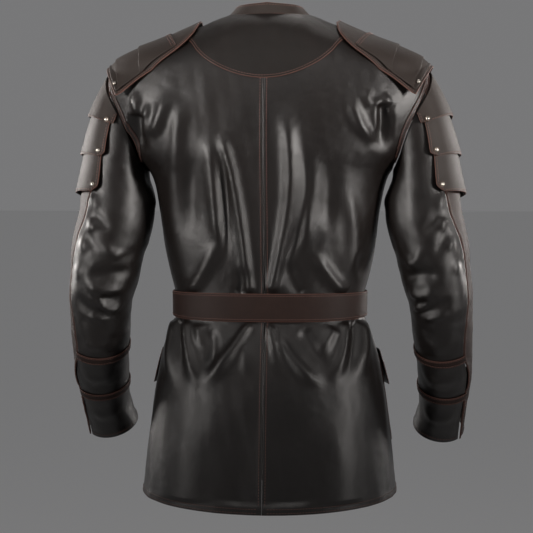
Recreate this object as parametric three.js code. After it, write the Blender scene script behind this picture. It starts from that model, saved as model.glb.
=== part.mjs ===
// Leather warrior coat, worn: an empty coat that keeps the form of a general figure.
// Millimetres, +Z up. The front faces -Y and the wearer's left side is +X.
// The origin is the centre of the neck opening, level with the points where collar and shoulders meet.
import * as THREE from "three";

// ---- driving dimensions ----
const WALL = 2; // leather and lining of the body and sleeves
const SEAM = 0.3; // gap between neighbouring pieces
const TRIM = 1.5; // thickness of the yoke, straps and pockets, which lie on a panel
const PLATE = 2.5; // thickness of the stiff shoulder and arm plates
const HEM = -777; // lowest level of the side seams
const HEM_DIP = 14; // how much lower the hem hangs at the centre back and front
// The belt runs from its start at the buckle once round, over its start, to its free end, in degrees.
const BELT = { top: -446, bottom: -492, thickness: 3, clearance: 1.2, start: 9.7, end: 360 + 30 };
const LAP = { over: 20, under: 15, rise: WALL + SEAM + 0.5 }; // the left front laps over the right
const ARMHOLE = { centre: -165, halfHeight: 85, halfAngle: 34, band: 9, bandRows: 6, gap: 1.5 };
const ARMPIT = ARMHOLE.centre - ARMHOLE.halfHeight;
const NECK = 0; // level of the neck seam
const COLLAR = { height: 20, frontHeight: 13, wall: 2.5, lean: 15, endLean: 5, opening: 1.5, gap: 0.6 };
const YOKE = { side: -37, drop: 68, roundness: 8 };
const CUFF = 408; // length of the arm below the sleeve cap
const STRAP_WIDTH = 12.5;
const STRAP_GAP = 0.8; // the straps bridge the slit a little clear of the sleeve

// Rings of the body from hem to neck: half width, depth behind and before the side seams, and
// how far the ring's front hangs below its sides. Each ring is a superellipse of power SQUARENESS.
const BODY = [
  { level: -777, width: 209, back: 160, front: 150, drop: 0 },
  { level: -690, width: 200, back: 148, front: 140, drop: 0 },
  { level: -610, width: 189, back: 134, front: 127, drop: 0 },
  { level: -551, width: 178, back: 120, front: 115, drop: 0 },
  { level: -512, width: 166, back: 106, front: 106, drop: 0 },
  { level: -492, width: 157, back: 99, front: 100, drop: 0 },
  { level: -470, width: 154, back: 97, front: 98, drop: 0 },
  { level: -449, width: 156, back: 98, front: 100, drop: 0 },
  { level: -412, width: 165, back: 103, front: 104, drop: 0 },
  { level: -373, width: 173, back: 109, front: 108, drop: 0 },
  { level: -313, width: 181, back: 117, front: 115, drop: 0 },
  { level: -275, width: 188, back: 123, front: 119, drop: 0 },
  { level: -250, width: 199, back: 126, front: 122, drop: 0 },
  { level: -221, width: 226, back: 129, front: 124, drop: 0 },
  { level: -190, width: 251, back: 130, front: 124, drop: 0 },
  { level: -160, width: 270, back: 129, front: 122, drop: 1 },
  { level: -127, width: 278, back: 125, front: 118, drop: 6 },
  { level: -100, width: 268, back: 120, front: 113, drop: 13 },
  { level: -80, width: 250, back: 115, front: 108, drop: 20 },
  { level: -63, width: 220, back: 109, front: 103, drop: 27 },
  { level: -48, width: 185, back: 102, front: 97, drop: 33 },
  { level: -33, width: 150, back: 94, front: 90, drop: 39 },
  { level: -18, width: 113, back: 84, front: 82, drop: 45 },
  { level: -7, width: 87, back: 72, front: 72, drop: 50 },
  { level: 0, width: 68, back: 60, front: 62, drop: 53 },
];
const SQUARENESS = 2.4;

// The sleeve cap leaves the armhole `clear` of the body, and by `inner` more at the armpit. It sets out
// along `top` at the shoulder and `armpit` below, in x and z, and `swell` rounds it out.
const CAP = { clear: 1.4, inner: 2.2, top: [0.55, -0.85], armpit: [0.08, -1], swell: 1.15 };

// Centre line and half sizes of the left arm, by distance below the sleeve cap.
const ARM = [
  { down: 0, x: 250, y: 12, z: -300, across: 62, deep: 68 },
  { down: 33, x: 254, y: 17, z: -333, across: 62, deep: 67 },
  { down: 74, x: 265, y: 19, z: -373, across: 60, deep: 65 },
  { down: 113, x: 271, y: 19, z: -412, across: 57, deep: 62 },
  { down: 154, x: 279, y: 14, z: -452, across: 53, deep: 60 },
  { down: 176, x: 281, y: 8, z: -473, across: 51, deep: 58 },
  { down: 219, x: 284, y: -5, z: -514, across: 49, deep: 56 },
  { down: 265, x: 287, y: -25, z: -556, across: 46, deep: 52 },
  { down: 311, x: 288, y: -47, z: -598, across: 44, deep: 48 },
  { down: 357, x: 286, y: -69, z: -639, across: 40, deep: 45 },
  { down: 408, x: 279, y: -93, z: -683, across: 43, deep: 45 },
];

// Half angle of the outer sleeve strip, by the same distance; the cap's distances are negative.
const STRIP = [
  { down: -250, angle: 62 },
  { down: -60, angle: 58 },
  { down: 0, angle: 54 },
  { down: 50, angle: 46 },
  { down: 110, angle: 31 },
  { down: 145, angle: 31 },
  { down: 200, angle: 43 },
  { down: 240, angle: 48 },
  { down: 285, angle: 34 },
  { down: 320, angle: 40 },
  { down: 408, angle: 38 },
];

// Shoulder plates along the shoulder line: place of the ridge, half width and drop of the edges.
// `lean` is how far an edge lies inwards of the ridge for each millimetre that it drops.
const SHOULDER = [
  { along: 0, x: 113, z: -5, half: 31, drop: 15, lean: 0.15 },
  { along: 0.06, x: 121, z: -9, half: 56, drop: 24, lean: 0.35 },
  { along: 0.14, x: 134, z: -15, half: 76, drop: 32, lean: 0.5 },
  { along: 0.31, x: 162.5, z: -28, half: 93, drop: 40, lean: 0.5 },
  { along: 0.57, x: 208, z: -53, half: 98, drop: 45, lean: 0.3 },
  { along: 0.81, x: 245, z: -73, half: 100, drop: 52, lean: 0.3 },
  { along: 1, x: 267, z: -81, half: 103, drop: 49, lean: 0.57 },
];

// Large folds of the body, each a soft ridge between two points seen from behind or from the front.
const FOLDS = [
  // above the belt, back
  { face: 1, x0: 27, z0: -250, x1: 15, z1: -448, width: 17, height: 5 },
  { face: 1, x0: -38, z0: -210, x1: -22, z1: -448, width: 18, height: 7 },
  { face: 1, x0: 75, z0: -200, x1: 55, z1: -380, width: 19, height: 5 },
  { face: 1, x0: 92, z0: -370, x1: 112, z1: -448, width: 17, height: 5 },
  { face: 1, x0: -75, z0: -370, x1: -124, z1: -446, width: 18, height: 5 },
  { face: 1, x0: 140, z0: -230, x1: 146, z1: -400, width: 18, height: 4 },
  { face: 1, x0: -118, z0: -180, x1: -122, z1: -340, width: 19, height: 4 },
  { face: 1, x0: 158, z0: -150, x1: 135, z1: -215, width: 17, height: 5 },
  { face: 1, x0: -142, z0: -150, x1: -160, z1: -215, width: 17, height: 5 },
  // below the belt, back
  { face: 1, x0: 18, z0: -496, x1: 82, z1: -585, width: 17, height: 6 },
  { face: 1, x0: -16, z0: -496, x1: -36, z1: -560, width: 16, height: 5 },
  { face: 1, x0: 115, z0: -500, x1: 108, z1: -575, width: 16, height: 6 },
  { face: 1, x0: 142, z0: -498, x1: 148, z1: -590, width: 15, height: 6 },
  { face: 1, x0: -122, z0: -500, x1: -96, z1: -590, width: 16, height: 6 },
  { face: 1, x0: -144, z0: -498, x1: -150, z1: -590, width: 15, height: 5 },
  // front
  { face: -1, x0: 60, z0: -300, x1: 52, z1: -446, width: 18, height: 5 },
  { face: -1, x0: -60, z0: -290, x1: -50, z1: -446, width: 18, height: 5 },
  { face: -1, x0: 118, z0: -330, x1: 104, z1: -446, width: 18, height: 5 },
  { face: -1, x0: -116, z0: -340, x1: -106, z1: -446, width: 18, height: 5 },
  { face: -1, x0: 58, z0: -498, x1: 62, z1: -560, width: 17, height: 4 },
  { face: -1, x0: -56, z0: -498, x1: -62, z1: -560, width: 17, height: 4 },
];

// Elbow folds of the sleeves: distance down the arm, angle round it and their reach in both.
const SLEEVE_FOLDS = [
  { down: 60, angle: 110, long: 12, wide: 45, height: 3 },
  { down: 118, angle: 150, long: 11, wide: 60, height: 4 },
  { down: 146, angle: 120, long: 10, wide: 50, height: 4 },
  { down: 172, angle: 160, long: 11, wide: 55, height: 4 },
  { down: 150, angle: 260, long: 11, wide: 45, height: 3 },
  { down: 290, angle: 110, long: 12, wide: 50, height: 2 },
];

const STUD = { radius: 6.5, height: 2.6, gap: 0.25, levels: [-100, -195, -290, -385, -560] };
const RIVET = { radius: 4, height: 2.4, gap: 0.7, across: 0.445, up: 0.16, shoulder: 0.84 };
const BUCKLE = { long: 50, high: 54, bar: 4.6, corner: 7, thickness: 3, out: 3.4, tilt: 5.9 };
const PRONG = { root: 12, tip: -28, width: 4.5, thickness: 3, out: 9.2 };
// Pockets on the grid of the fronts: shares across from the side, rows up from the hem.
const POCKET = { from: 0.1, to: 0.5, bottomRow: 2, topRow: 5.5, flapRow: 4.25, gap: 0.7, flare: 4.5 };

const LEATHER = new THREE.MeshStandardMaterial({ color: 0x2b2522, roughness: 0.45, metalness: 0 });
const MATTE = new THREE.MeshStandardMaterial({ color: 0x37312e, roughness: 0.65, metalness: 0 });
const BROWN = new THREE.MeshStandardMaterial({ color: 0x44332f, roughness: 0.5, metalness: 0 });
const METAL = new THREE.MeshStandardMaterial({ color: 0xa8a29a, roughness: 0.3, metalness: 1 });

// ---- helpers ----
const rad = THREE.MathUtils.degToRad;
const lerp = THREE.MathUtils.lerp;
const clamp = THREE.MathUtils.clamp;
const ease = (from, to, x) => {
  const t = clamp((x - from) / (to - from), 0, 1);
  return t * t * (3 - 2 * t);
};
const bump = (distance, width) => Math.exp(-((distance / width) ** 2));

// A smooth curve through the rows of a table, ascending in `key`: column `name` at x.
function smooth(rows, key, name, x) {
  let i = 0;
  while (i < rows.length - 2 && x > rows[i + 1][key]) i++;
  const slope = (j) => {
    const before = rows[Math.max(j - 1, 0)];
    const after = rows[Math.min(j + 1, rows.length - 1)];
    return (after[name] - before[name]) / (after[key] - before[key]);
  };
  const step = rows[i + 1][key] - rows[i][key];
  const t = clamp((x - rows[i][key]) / step, 0, 1);
  const bend = slope(i) * (t * (1 - t) ** 2) - slope(i + 1) * (t * t * (1 - t));
  return lerp(rows[i][name], rows[i + 1][name], t * t * (3 - 2 * t)) + step * bend;
}

// The point `out` millimetres outside a surface, whose normal is worked out by small steps.
function outside(surface, u, v, out, facing = 1) {
  const [du, dv] = [0.5, 0.002 * (surface.scale ?? 500)];
  const along = surface(u + du, v).sub(surface(u - du, v));
  const up = surface(u, v + dv).sub(surface(u, v - dv));
  return surface(u, v).addScaledVector(along.cross(up).normalize(), out * facing);
}

// A closed sheet: place(s, t, face) gives the point at share s across and t up,
// with face 0 for the inner side of the wall and 1 for the outer side.
function sheet(columns, rows, place) {
  const positions = [];
  const index = [];
  for (const face of [0, 1]) {
    for (let j = 0; j <= rows; j++) {
      for (let i = 0; i <= columns; i++) positions.push(...place(i / columns, j / rows, face).toArray());
    }
  }
  const at = (i, j, face) => (face * (rows + 1) + j) * (columns + 1) + i;
  const point = (k) => new THREE.Vector3().fromArray(positions, 3 * k);
  const quad = (a, b, c, d) => index.push(a, b, c, a, c, d);
  for (let j = 0; j < rows; j++) {
    for (let i = 0; i < columns; i++) {
      const corners = [[i, j], [i + 1, j], [i + 1, j + 1], [i, j + 1]];
      const [a, b, c, d] = corners.map(([m, n]) => point(at(m, n, 1)));
      const outwards = a.clone().sub(point(at(i, j, 0)));
      // Both faces are cut along the diagonal that bulges outwards, so that they follow the curve.
      if (b.add(d).sub(a).sub(c).dot(outwards) > 0) corners.push(corners.shift());
      const [outer, inner] = [1, 0].map((face) => corners.map(([m, n]) => at(m, n, face)));
      quad(...outer);
      quad(inner[0], inner[3], inner[2], inner[1]);
    }
    quad(at(0, j, 0), at(0, j, 1), at(0, j + 1, 1), at(0, j + 1, 0));
    quad(at(columns, j, 1), at(columns, j, 0), at(columns, j + 1, 0), at(columns, j + 1, 1));
  }
  for (let i = 0; i < columns; i++) {
    quad(at(i, 0, 0), at(i + 1, 0, 0), at(i + 1, 0, 1), at(i, 0, 1));
    quad(at(i, rows, 1), at(i + 1, rows, 1), at(i + 1, rows, 0), at(i, rows, 0));
  }
  return facingOut(positions, index);
}

// A geometry whose faces point out, whichever way round its corners were listed.
function facingOut(positions, index) {
  const [a, b, c] = [0, 0, 0].map(() => new THREE.Vector3());
  let volume = 0;
  for (let i = 0; i < index.length; i += 3) {
    [a, b, c].forEach((p, k) => p.fromArray(positions, index[i + k] * 3));
    volume += a.dot(b.cross(c));
  }
  if (volume < 0) index.reverse();
  const geometry = new THREE.BufferGeometry();
  geometry.setAttribute("position", new THREE.Float32BufferAttribute(positions, 3));
  return geometry.setIndex(index);
}

// ---- the body's surface ----
// `angle` is 0 at the side seam, 90 at the centre back and -90 at the centre front.
function foldHeight(p) {
  let height = 0;
  for (const fold of FOLDS) {
    if (p.y * fold.face <= 0) continue;
    const [dx, dz] = [fold.x1 - fold.x0, fold.z1 - fold.z0];
    const t = clamp(((p.x - fold.x0) * dx + (p.z - fold.z0) * dz) / (dx * dx + dz * dz), 0, 1);
    const distance = Math.hypot(p.x - fold.x0 - t * dx, p.z - fold.z0 - t * dz);
    height += fold.height * bump(distance, fold.width) * (0.35 + 0.65 * t);
  }
  const fromBelt = Math.max(BELT.bottom - p.z, p.z - BELT.top);
  return height * ease(0, 14, fromBelt);
}

function bodySurface(side) {
  const surface = (angle, level) => {
    const ring = (name) => smooth(BODY, "level", name, level);
    const [c, s] = [Math.cos(rad(angle)), Math.sin(rad(angle))];
    const round = (Math.abs(c) ** SQUARENESS + Math.abs(s) ** SQUARENESS) ** (-1 / SQUARENESS);
    const y = round * s * (s > 0 ? ring("back") : ring("front"));
    const dip = HEM_DIP * s * s * ease(BELT.bottom, HEM, level);
    const fall = s < 0 ? ring("drop") : 0;
    return new THREE.Vector3(side * round * c * ring("width"), y, level - dip - fall * (s * round) ** 2);
  };
  return surface;
}

function onBody(side, angle, level, out) {
  const surface = bodySurface(side);
  return outside(surface, angle, level, out + foldHeight(surface(angle, level)), side);
}

// The armhole, an oval on the body: turn is 0 at the shoulder tip, 90 at the back, 180 at the armpit.
const armholeLevel = (turn) => ARMHOLE.centre + ARMHOLE.halfHeight * Math.cos(rad(turn));
const armholeAngle = (turn) => ARMHOLE.halfAngle * Math.sin(rad(turn));

// ---- body panels ----
// Bands of rows from hem to neck: from one level of the side to another, or by turns round the armhole.
const BANDS = [
  { from: HEM, to: BELT.bottom, rows: 7 },
  { from: BELT.bottom, to: BELT.top, rows: 2 },
  { from: BELT.top, to: ARMPIT, rows: 6 },
  { turns: [180, 148, 125, 105, 85, 65, 44, 22, 0], rows: 8 },
  { from: ARMHOLE.centre + ARMHOLE.halfHeight, to: YOKE.side, rows: 2 },
  { from: YOKE.side, to: NECK, rows: 5 },
];
const PANEL_ROWS = BANDS.reduce((sum, band) => sum + band.rows, 0);
const YOKE_ROW = PANEL_ROWS - BANDS.at(-1).rows;
const BACK_COLUMNS = 14;
const ARMHOLE_ROW = BANDS[0].rows + BANDS[1].rows + BANDS[2].rows;
const FRONT_COLUMNS = 10;

// A row's level at the side and the angle of the panel's side edge there.
function panelRow(row) {
  for (const band of BANDS) {
    if (row <= band.rows) {
      if (!band.turns) return { level: lerp(band.from, band.to, row / band.rows), edge: 0 };
      const turn = band.turns[Math.round(row)];
      return { level: armholeLevel(turn), edge: armholeAngle(turn) };
    }
    row -= band.rows;
  }
}

const degrees = (length, level) => THREE.MathUtils.radToDeg(length / smooth(BODY, "level", "width", level));

// Level of the yoke's edge; `across` is 0 at the centre back and 1 at the shoulder.
const yokeEdge = (across) => YOKE.side - YOKE.drop * Math.cos(rad(90 * across)) ** YOKE.roundness;

// A point of the back, with `across` 0 at the centre seam and 1 at the side. Rows bend to the yoke's edge.
function backPoint(side, across, row, out) {
  const { level, edge } = panelRow(row);
  const angle = lerp(90 - degrees(SEAM / 2, level), edge + degrees(SEAM, level), across);
  const share = clamp((level - ARMPIT) / (YOKE.side - ARMPIT), 0, 1);
  const lowered = level - share * (YOKE.side - yokeEdge(across));
  const aboveYoke = clamp((level - YOKE.side) / (NECK - YOKE.side), 0, 1);
  return onBody(side, angle, lerp(lowered, NECK, aboveYoke), out);
}

// How far the left front, or the belt on it, stands out over the right front's edge.
function lapRise(x) {
  return LAP.rise * ease(LAP.under + 70, LAP.under + 30, Math.abs(x));
}

// A point of the front, whose front edge lies `past` millimetres beyond the centre.
function frontPoint(side, across, row, out) {
  const { level, edge } = panelRow(row);
  const past = side > 0 ? LAP.over : LAP.under;
  const angle = lerp(-edge - degrees(SEAM, level), -90 - degrees(past, level), across);
  const x = smooth(BODY, "level", "width", level) * Math.cos(rad(angle));
  return onBody(side, angle, level, out + (side > 0 ? lapRise(x) : 0));
}

function backPanel(side) {
  return sheet(BACK_COLUMNS, PANEL_ROWS, (s, t, face) =>
    backPoint(side, s, Math.round(t * PANEL_ROWS), (face - 1) * WALL));
}

function frontPanel(side) {
  return sheet(FRONT_COLUMNS, PANEL_ROWS, (s, t, face) =>
    frontPoint(side, s, Math.round(t * PANEL_ROWS), (face - 1) * WALL));
}

// The yoke lies on the upper rows of both backs.
function yoke() {
  const rows = PANEL_ROWS - YOKE_ROW;
  return sheet(2 * BACK_COLUMNS, rows, (s, t, face) => {
    const across = Math.abs(2 * s - 1);
    const out = SEAM + face * TRIM;
    const point = backPoint(s > 0.5 ? 1 : -1, across, YOKE_ROW + Math.round(t * rows), out);
    if (across === 0) point.x = 0;
    return point;
  });
}

// A raised band along the back of the armhole, on the outer part of the back's last column.
function armholeBand(side) {
  const rows = ARMHOLE.bandRows;
  return sheet(1, rows, (s, t, face) => {
    const row = ARMHOLE_ROW + 1 + Math.round(t * rows);
    const out = ARMHOLE.gap + face * TRIM;
    const outer = backPoint(side, 1, row, out);
    const inner = backPoint(side, 1 - 1 / BACK_COLUMNS, row, out);
    const width = Math.min(1, ARMHOLE.band / outer.distanceTo(inner));
    return outer.lerp(inner, s * width);
  });
}

function collar() {
  return sheet(30, 2, (s, t, face) => {
    const side = s < 0.5 ? 1 : -1;
    const angle = lerp(90, -90 + COLLAR.opening, Math.abs(2 * s - 1));
    const base = onBody(side, angle, NECK, 0);
    const inwards = new THREE.Vector3(-base.x, -base.y, 0).normalize();
    const front = (90 - angle) / 180;
    const height = lerp(COLLAR.height, COLLAR.frontHeight, front ** 0.6);
    base.z += COLLAR.gap + t * height;
    const lean = lerp(COLLAR.endLean, COLLAR.lean, Math.sin(Math.PI * front));
    return base.addScaledVector(inwards, t * lean + (1 - face) * COLLAR.wall);
  });
}

// ---- sleeves ----
function armRing(turn, down) {
  const centreAt = (d) => new THREE.Vector3(...["x", "y", "z"].map((name) => smooth(ARM, "down", name, d)));
  const axis = centreAt(down + 2).sub(centreAt(down - 2)).normalize();
  const outwards = new THREE.Vector3(1, 0, 0).addScaledVector(axis, -axis.x).normalize();
  const backwards = new THREE.Vector3().crossVectors(axis, outwards).multiplyScalar(-1);
  if (backwards.y < 0) backwards.negate();
  const point = centreAt(down)
    .addScaledVector(outwards, smooth(ARM, "down", "across", down) * Math.cos(rad(turn)))
    .addScaledVector(backwards, smooth(ARM, "down", "deep", down) * Math.sin(rad(turn)));
  return { point, axis };
}

// The sleeve's surface: `down` runs from -1 at the armhole to 0 below the cap, then on in millimetres.
function sleeveSurface(side) {
  const surface = (turn, down) => {
    const mirror = new THREE.Vector3(side, 1, 1);
    if (down >= 0) return armRing(turn, Math.min(down, CUFF)).point.multiply(mirror);
    const top = (1 + Math.cos(rad(turn))) / 2;
    const start = onBody(1, armholeAngle(turn), armholeLevel(turn), 0);
    const [leaveX, leaveZ] = [0, 1].map((i) => lerp(CAP.armpit[i], CAP.top[i], top));
    const leave = new THREE.Vector3(leaveX, 0, leaveZ).normalize();
    start.addScaledVector(leave, CAP.clear).add(new THREE.Vector3(CAP.inner * (1 - top), 0, 0));
    const { point: end, axis } = armRing(turn, 0);
    const reach = start.distanceTo(end);
    const t = down + 1;
    const [h1, h2] = [t * (1 - t) ** 2 * reach * CAP.swell, -t * t * (1 - t) * reach];
    return start.lerp(end, t * t * (3 - 2 * t)).addScaledVector(leave, h1).addScaledVector(axis, h2)
      .multiply(mirror);
  };
  return surface;
}

function sleeveFold(turn, down) {
  let height = 0;
  for (const fold of SLEEVE_FOLDS) {
    height += fold.height * bump(down - fold.down, fold.long) * bump(turn - fold.angle, fold.wide);
  }
  return height;
}

function onSleeve(side, turn, down, out) {
  const surface = sleeveSurface(side);
  surface.scale = down < 0 ? 5 : 500;
  const wrapped = (turn + 360) % 360;
  return outside(surface, turn, down, out + sleeveFold(wrapped, down), -side);
}

const VENT = { width: 2.4, from: 250, to: 290 }; // the slit beside the strip, in degrees, down to the cuff
const CAP_ROWS = 6;
const ARM_ROWS = 14;
const sleeveDown = (row) => (row < CAP_ROWS ? row / CAP_ROWS - 1 : ((row - CAP_ROWS) / ARM_ROWS) * CUFF);
const stripAngle = (down) => smooth(STRIP, "down", "angle", down < 0 ? down * 250 : down);

// Main panel of the sleeve, round the back, inside and front of the arm.
function sleevePanel(side) {
  return sheet(14, CAP_ROWS + ARM_ROWS, (s, t, face) => {
    const down = sleeveDown(Math.round(t * (CAP_ROWS + ARM_ROWS)));
    const vent = VENT.width * ease(VENT.from, VENT.to, down);
    const half = stripAngle(down) + vent;
    return onSleeve(side, lerp(half, 360 - half, s), down, (face - 1) * WALL);
  });
}

// Outer strip of the sleeve, from the shoulder to the cuff.
function sleeveStrip(side) {
  return sheet(4, CAP_ROWS + ARM_ROWS, (s, t, face) => {
    const down = sleeveDown(Math.round(t * (CAP_ROWS + ARM_ROWS)));
    const half = stripAngle(down) - 0.7;
    return onSleeve(side, lerp(-half, half, s), down, (face - 1) * WALL);
  });
}

function cuffStrap(side, middle) {
  return sheet(14, 1, (s, t, face) => {
    const down = middle + (t - 0.5) * STRAP_WIDTH;
    const half = stripAngle(down) - 3;
    return onSleeve(side, lerp(half, 360 - half, s), down, STRAP_GAP + face * TRIM);
  });
}

// The flaps that hang over the upper arm like shingles, each lifted over the next one's top.
// Their edges lie by `tilt` less far down the cap where they reach the back and front of the arm.
const FLAPS = [
  { top: -0.95, topTilt: 0.04, bottom: -0.6, tilt: 0.28, half: 84, rivetGap: 1 },
  { top: -0.68, topTilt: 0.24, bottom: -0.31, tilt: 0.14, half: 78, rivetGap: 0.4 },
  { top: -0.4, topTilt: 0.12, bottom: -0.02, tilt: 0, half: 71, rivetGap: 0.4 },
];
const FLAP_LIFT = 6.5;
const FLAP_GAP = 1.2; // clear of the sleeve's flat faces

function onFlap(side, flap, s, t, out) {
  const corner = 0.14 * Math.max(0, 1 - t / 0.2) ** 2;
  const turn = flap.half * (2 * s - 1) * (1 - corner);
  const behind = 1 - Math.cos(rad(turn));
  const down = lerp(flap.bottom - flap.tilt * behind, flap.top - flap.topTilt * behind, t);
  return onSleeve(side, turn, down, FLAP_GAP + FLAP_LIFT * (1 - t) ** 1.3 + out);
}

function armFlap(side, flap) {
  return sheet(10, 4, (s, t, face) => onFlap(side, flap, s, t ** 1.8, face * PLATE));
}

// ---- shoulder plates ----
// `along` runs from the neck end to the outer end, `across` from -1 at the front to 1 at the back.
// It never comes lower than REST above the coat's own shoulder.
const REST = 8.9;
function shoulderHeight(x, y) {
  let [low, high] = [-165, NECK];
  const size = (name, level) => smooth(BODY, "level", name, level);
  for (let i = 0; i < 20; i++) {
    const level = (low + high) / 2;
    const deep = Math.abs(y) / size(y > 0 ? "back" : "front", level);
    const inside = (x / size("width", level)) ** SQUARENESS + deep ** SQUARENESS < 1;
    [low, high] = inside ? [level, high] : [low, level];
  }
  return y > 0 ? low : low - size("drop", low) * (y / size("front", low)) ** 2;
}

function shoulderSurface(side) {
  const surface = (across, along) => {
    const ridge = (name) => smooth(SHOULDER, "along", name, along);
    const fall = ridge("drop") * Math.abs(across) ** 2.3;
    const [x, y] = [ridge("x") - ridge("lean") * fall, across * ridge("half")];
    return new THREE.Vector3(side * x, y, Math.max(ridge("z") - fall, shoulderHeight(x, y) + REST));
  };
  return surface;
}

function onShoulder(side, across, along, out) {
  const surface = shoulderSurface(side);
  const [dq, dp] = [0.02, 0.01];
  const a = surface(across + dq, along).sub(surface(across - dq, along));
  const b = surface(across, Math.min(along + dp, 1)).sub(surface(across, Math.max(along - dp, 0)));
  const normal = a.cross(b).normalize();
  if (normal.z < 0) normal.negate();
  return surface(across, along).addScaledVector(normal, out);
}

// The base's outermost columns are its bare border; the plates share the columns inside it.
const PLATE_REACH = 0.955;
function shoulderBase(side) {
  const across = (s) => (Math.abs(2 * s - 1) > 0.99 ? 2 * s - 1 : (2 * s - 1) * (7 / 6) * PLATE_REACH);
  return sheet(14, 11, (s, t, face) => onShoulder(side, across(s), t ** 1.3, (face - 1) * PLATE));
}

// Three plates lie on the base like shingles; each one's outer end rests on the next one.
const PLATES = [
  { from: 0.3, to: 0.59, lift: 3.6 },
  { from: 0.56, to: 0.84, lift: 3.6 },
  { from: 0.81, to: 0.955, lift: 1.4 },
];
const PLATE_GAP = 1.7; // between the plates and the base

function onPlate(side, plate, across, t, out) {
  const lift = PLATE_GAP + plate.lift * t ** 1.5;
  return onShoulder(side, across, lerp(plate.from, plate.to, t), lift + out);
}

function shoulderPlate(side, plate) {
  return sheet(12, 4, (s, t, face) => onPlate(side, plate, PLATE_REACH * (2 * s - 1), t, face * PLATE));
}

// ---- belt ----
// The belt's surface is straight up and down; x is the way round from the buckle, as an angle.
function onBelt(around, up, out) {
  const side = around < 180 ? 1 : -1;
  const angle = around < 180 ? around - 90 : 270 - around;
  const x = smooth(BODY, "level", "width", BELT.top) * Math.cos(rad(angle));
  const lap = angle < 0 ? lapRise(x) : 0;
  const edge = (level) => onBody(side, angle, level, BELT.clearance + lap + out);
  return edge(BELT.bottom).lerp(edge(BELT.top), up);
}

function belt() {
  return sheet(76, 1, (s, t, face) => {
    const around = lerp(BELT.start, BELT.end, s);
    const turned = around > 360 ? around - 360 : around;
    const narrow = 0.3 * ease(BELT.end - 6, BELT.end, around);
    const over = (BELT.thickness + 2 * SEAM) * ease(353, 366, around);
    return onBelt(turned, lerp(narrow, 1 - narrow, t), over + face * BELT.thickness);
  });
}

// The buckle's frame, whose outer bar lies over the strap and whose inner bar lies under it.
function buckleFrame() {
  const [long, high] = [BUCKLE.long / 2, BUCKLE.high / 2];
  const outline = new THREE.Shape(roundRectangle(long, high, BUCKLE.corner));
  outline.holes.push(new THREE.Path(roundRectangle(long - BUCKLE.bar, high - BUCKLE.bar, 2)));
  return upright(outline, BUCKLE.thickness);
}

function roundRectangle(x, y, r) {
  const path = new THREE.Path();
  path.absarc(x - r, y - r, r, 0, Math.PI / 2);
  path.absarc(r - x, y - r, r, Math.PI / 2, Math.PI);
  path.absarc(r - x, r - y, r, Math.PI, 1.5 * Math.PI);
  path.absarc(x - r, r - y, r, 1.5 * Math.PI, 2 * Math.PI);
  return path.closePath().getPoints(3);
}

// Extrudes an outline towards the front, half of its thickness each side of the origin.
function upright(outline, depth) {
  const geometry = new THREE.ExtrudeGeometry(outline, { depth, bevelEnabled: false, curveSegments: 3 });
  return geometry.translate(0, 0, -depth / 2).rotateX(Math.PI / 2);
}

function prong() {
  const outline = new THREE.Shape();
  outline.moveTo(PRONG.root, -PRONG.width / 2);
  outline.lineTo(PRONG.root, PRONG.width / 2);
  outline.lineTo(PRONG.tip, PRONG.width / 3);
  outline.lineTo(PRONG.tip, -PRONG.width / 3);
  outline.closePath();
  return upright(outline, PRONG.thickness);
}

// ---- pockets ----
function pocket(side) {
  return sheet(4, 4, (s, t, face) => {
    const row = lerp(POCKET.bottomRow, POCKET.topRow, t);
    return frontPoint(side, lerp(POCKET.from, POCKET.to, s), row, POCKET.gap + face * TRIM);
  });
}

function pocketFlap(side) {
  return sheet(5, 2, (s, t, face) => {
    const row = lerp(POCKET.flapRow, POCKET.topRow + 0.2, t);
    const lift = POCKET.gap + TRIM + 0.9 + POCKET.flare * (1 - t);
    return frontPoint(side, lerp(POCKET.from - 0.04, POCKET.to + 0.02, s), row, lift + face * TRIM);
  });
}

// ---- rivets and studs ----
function dome({ radius, height }) {
  const profile = [[0, 0], [radius, 0], [radius * 0.8, height * 0.65], [0, height]];
  return new THREE.LatheGeometry(profile.map(([x, y]) => new THREE.Vector2(x, y)), 8);
}

// ---- the coat ----
const group = new THREE.Group();
function add(name, geometry, material) {
  const mesh = new THREE.Mesh(geometry, material);
  mesh.name = name;
  group.add(mesh);
  return mesh;
}

// Adds a dome on the surface that place(out) describes, standing along its normal.
function addDome(name, size, place) {
  const mesh = add(name, dome(size), METAL);
  const seat = place(size.gap);
  const normal = place(size.gap + 1).sub(seat).normalize();
  mesh.position.copy(seat);
  mesh.quaternion.setFromUnitVectors(new THREE.Vector3(0, 1, 0), normal);
}

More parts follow.
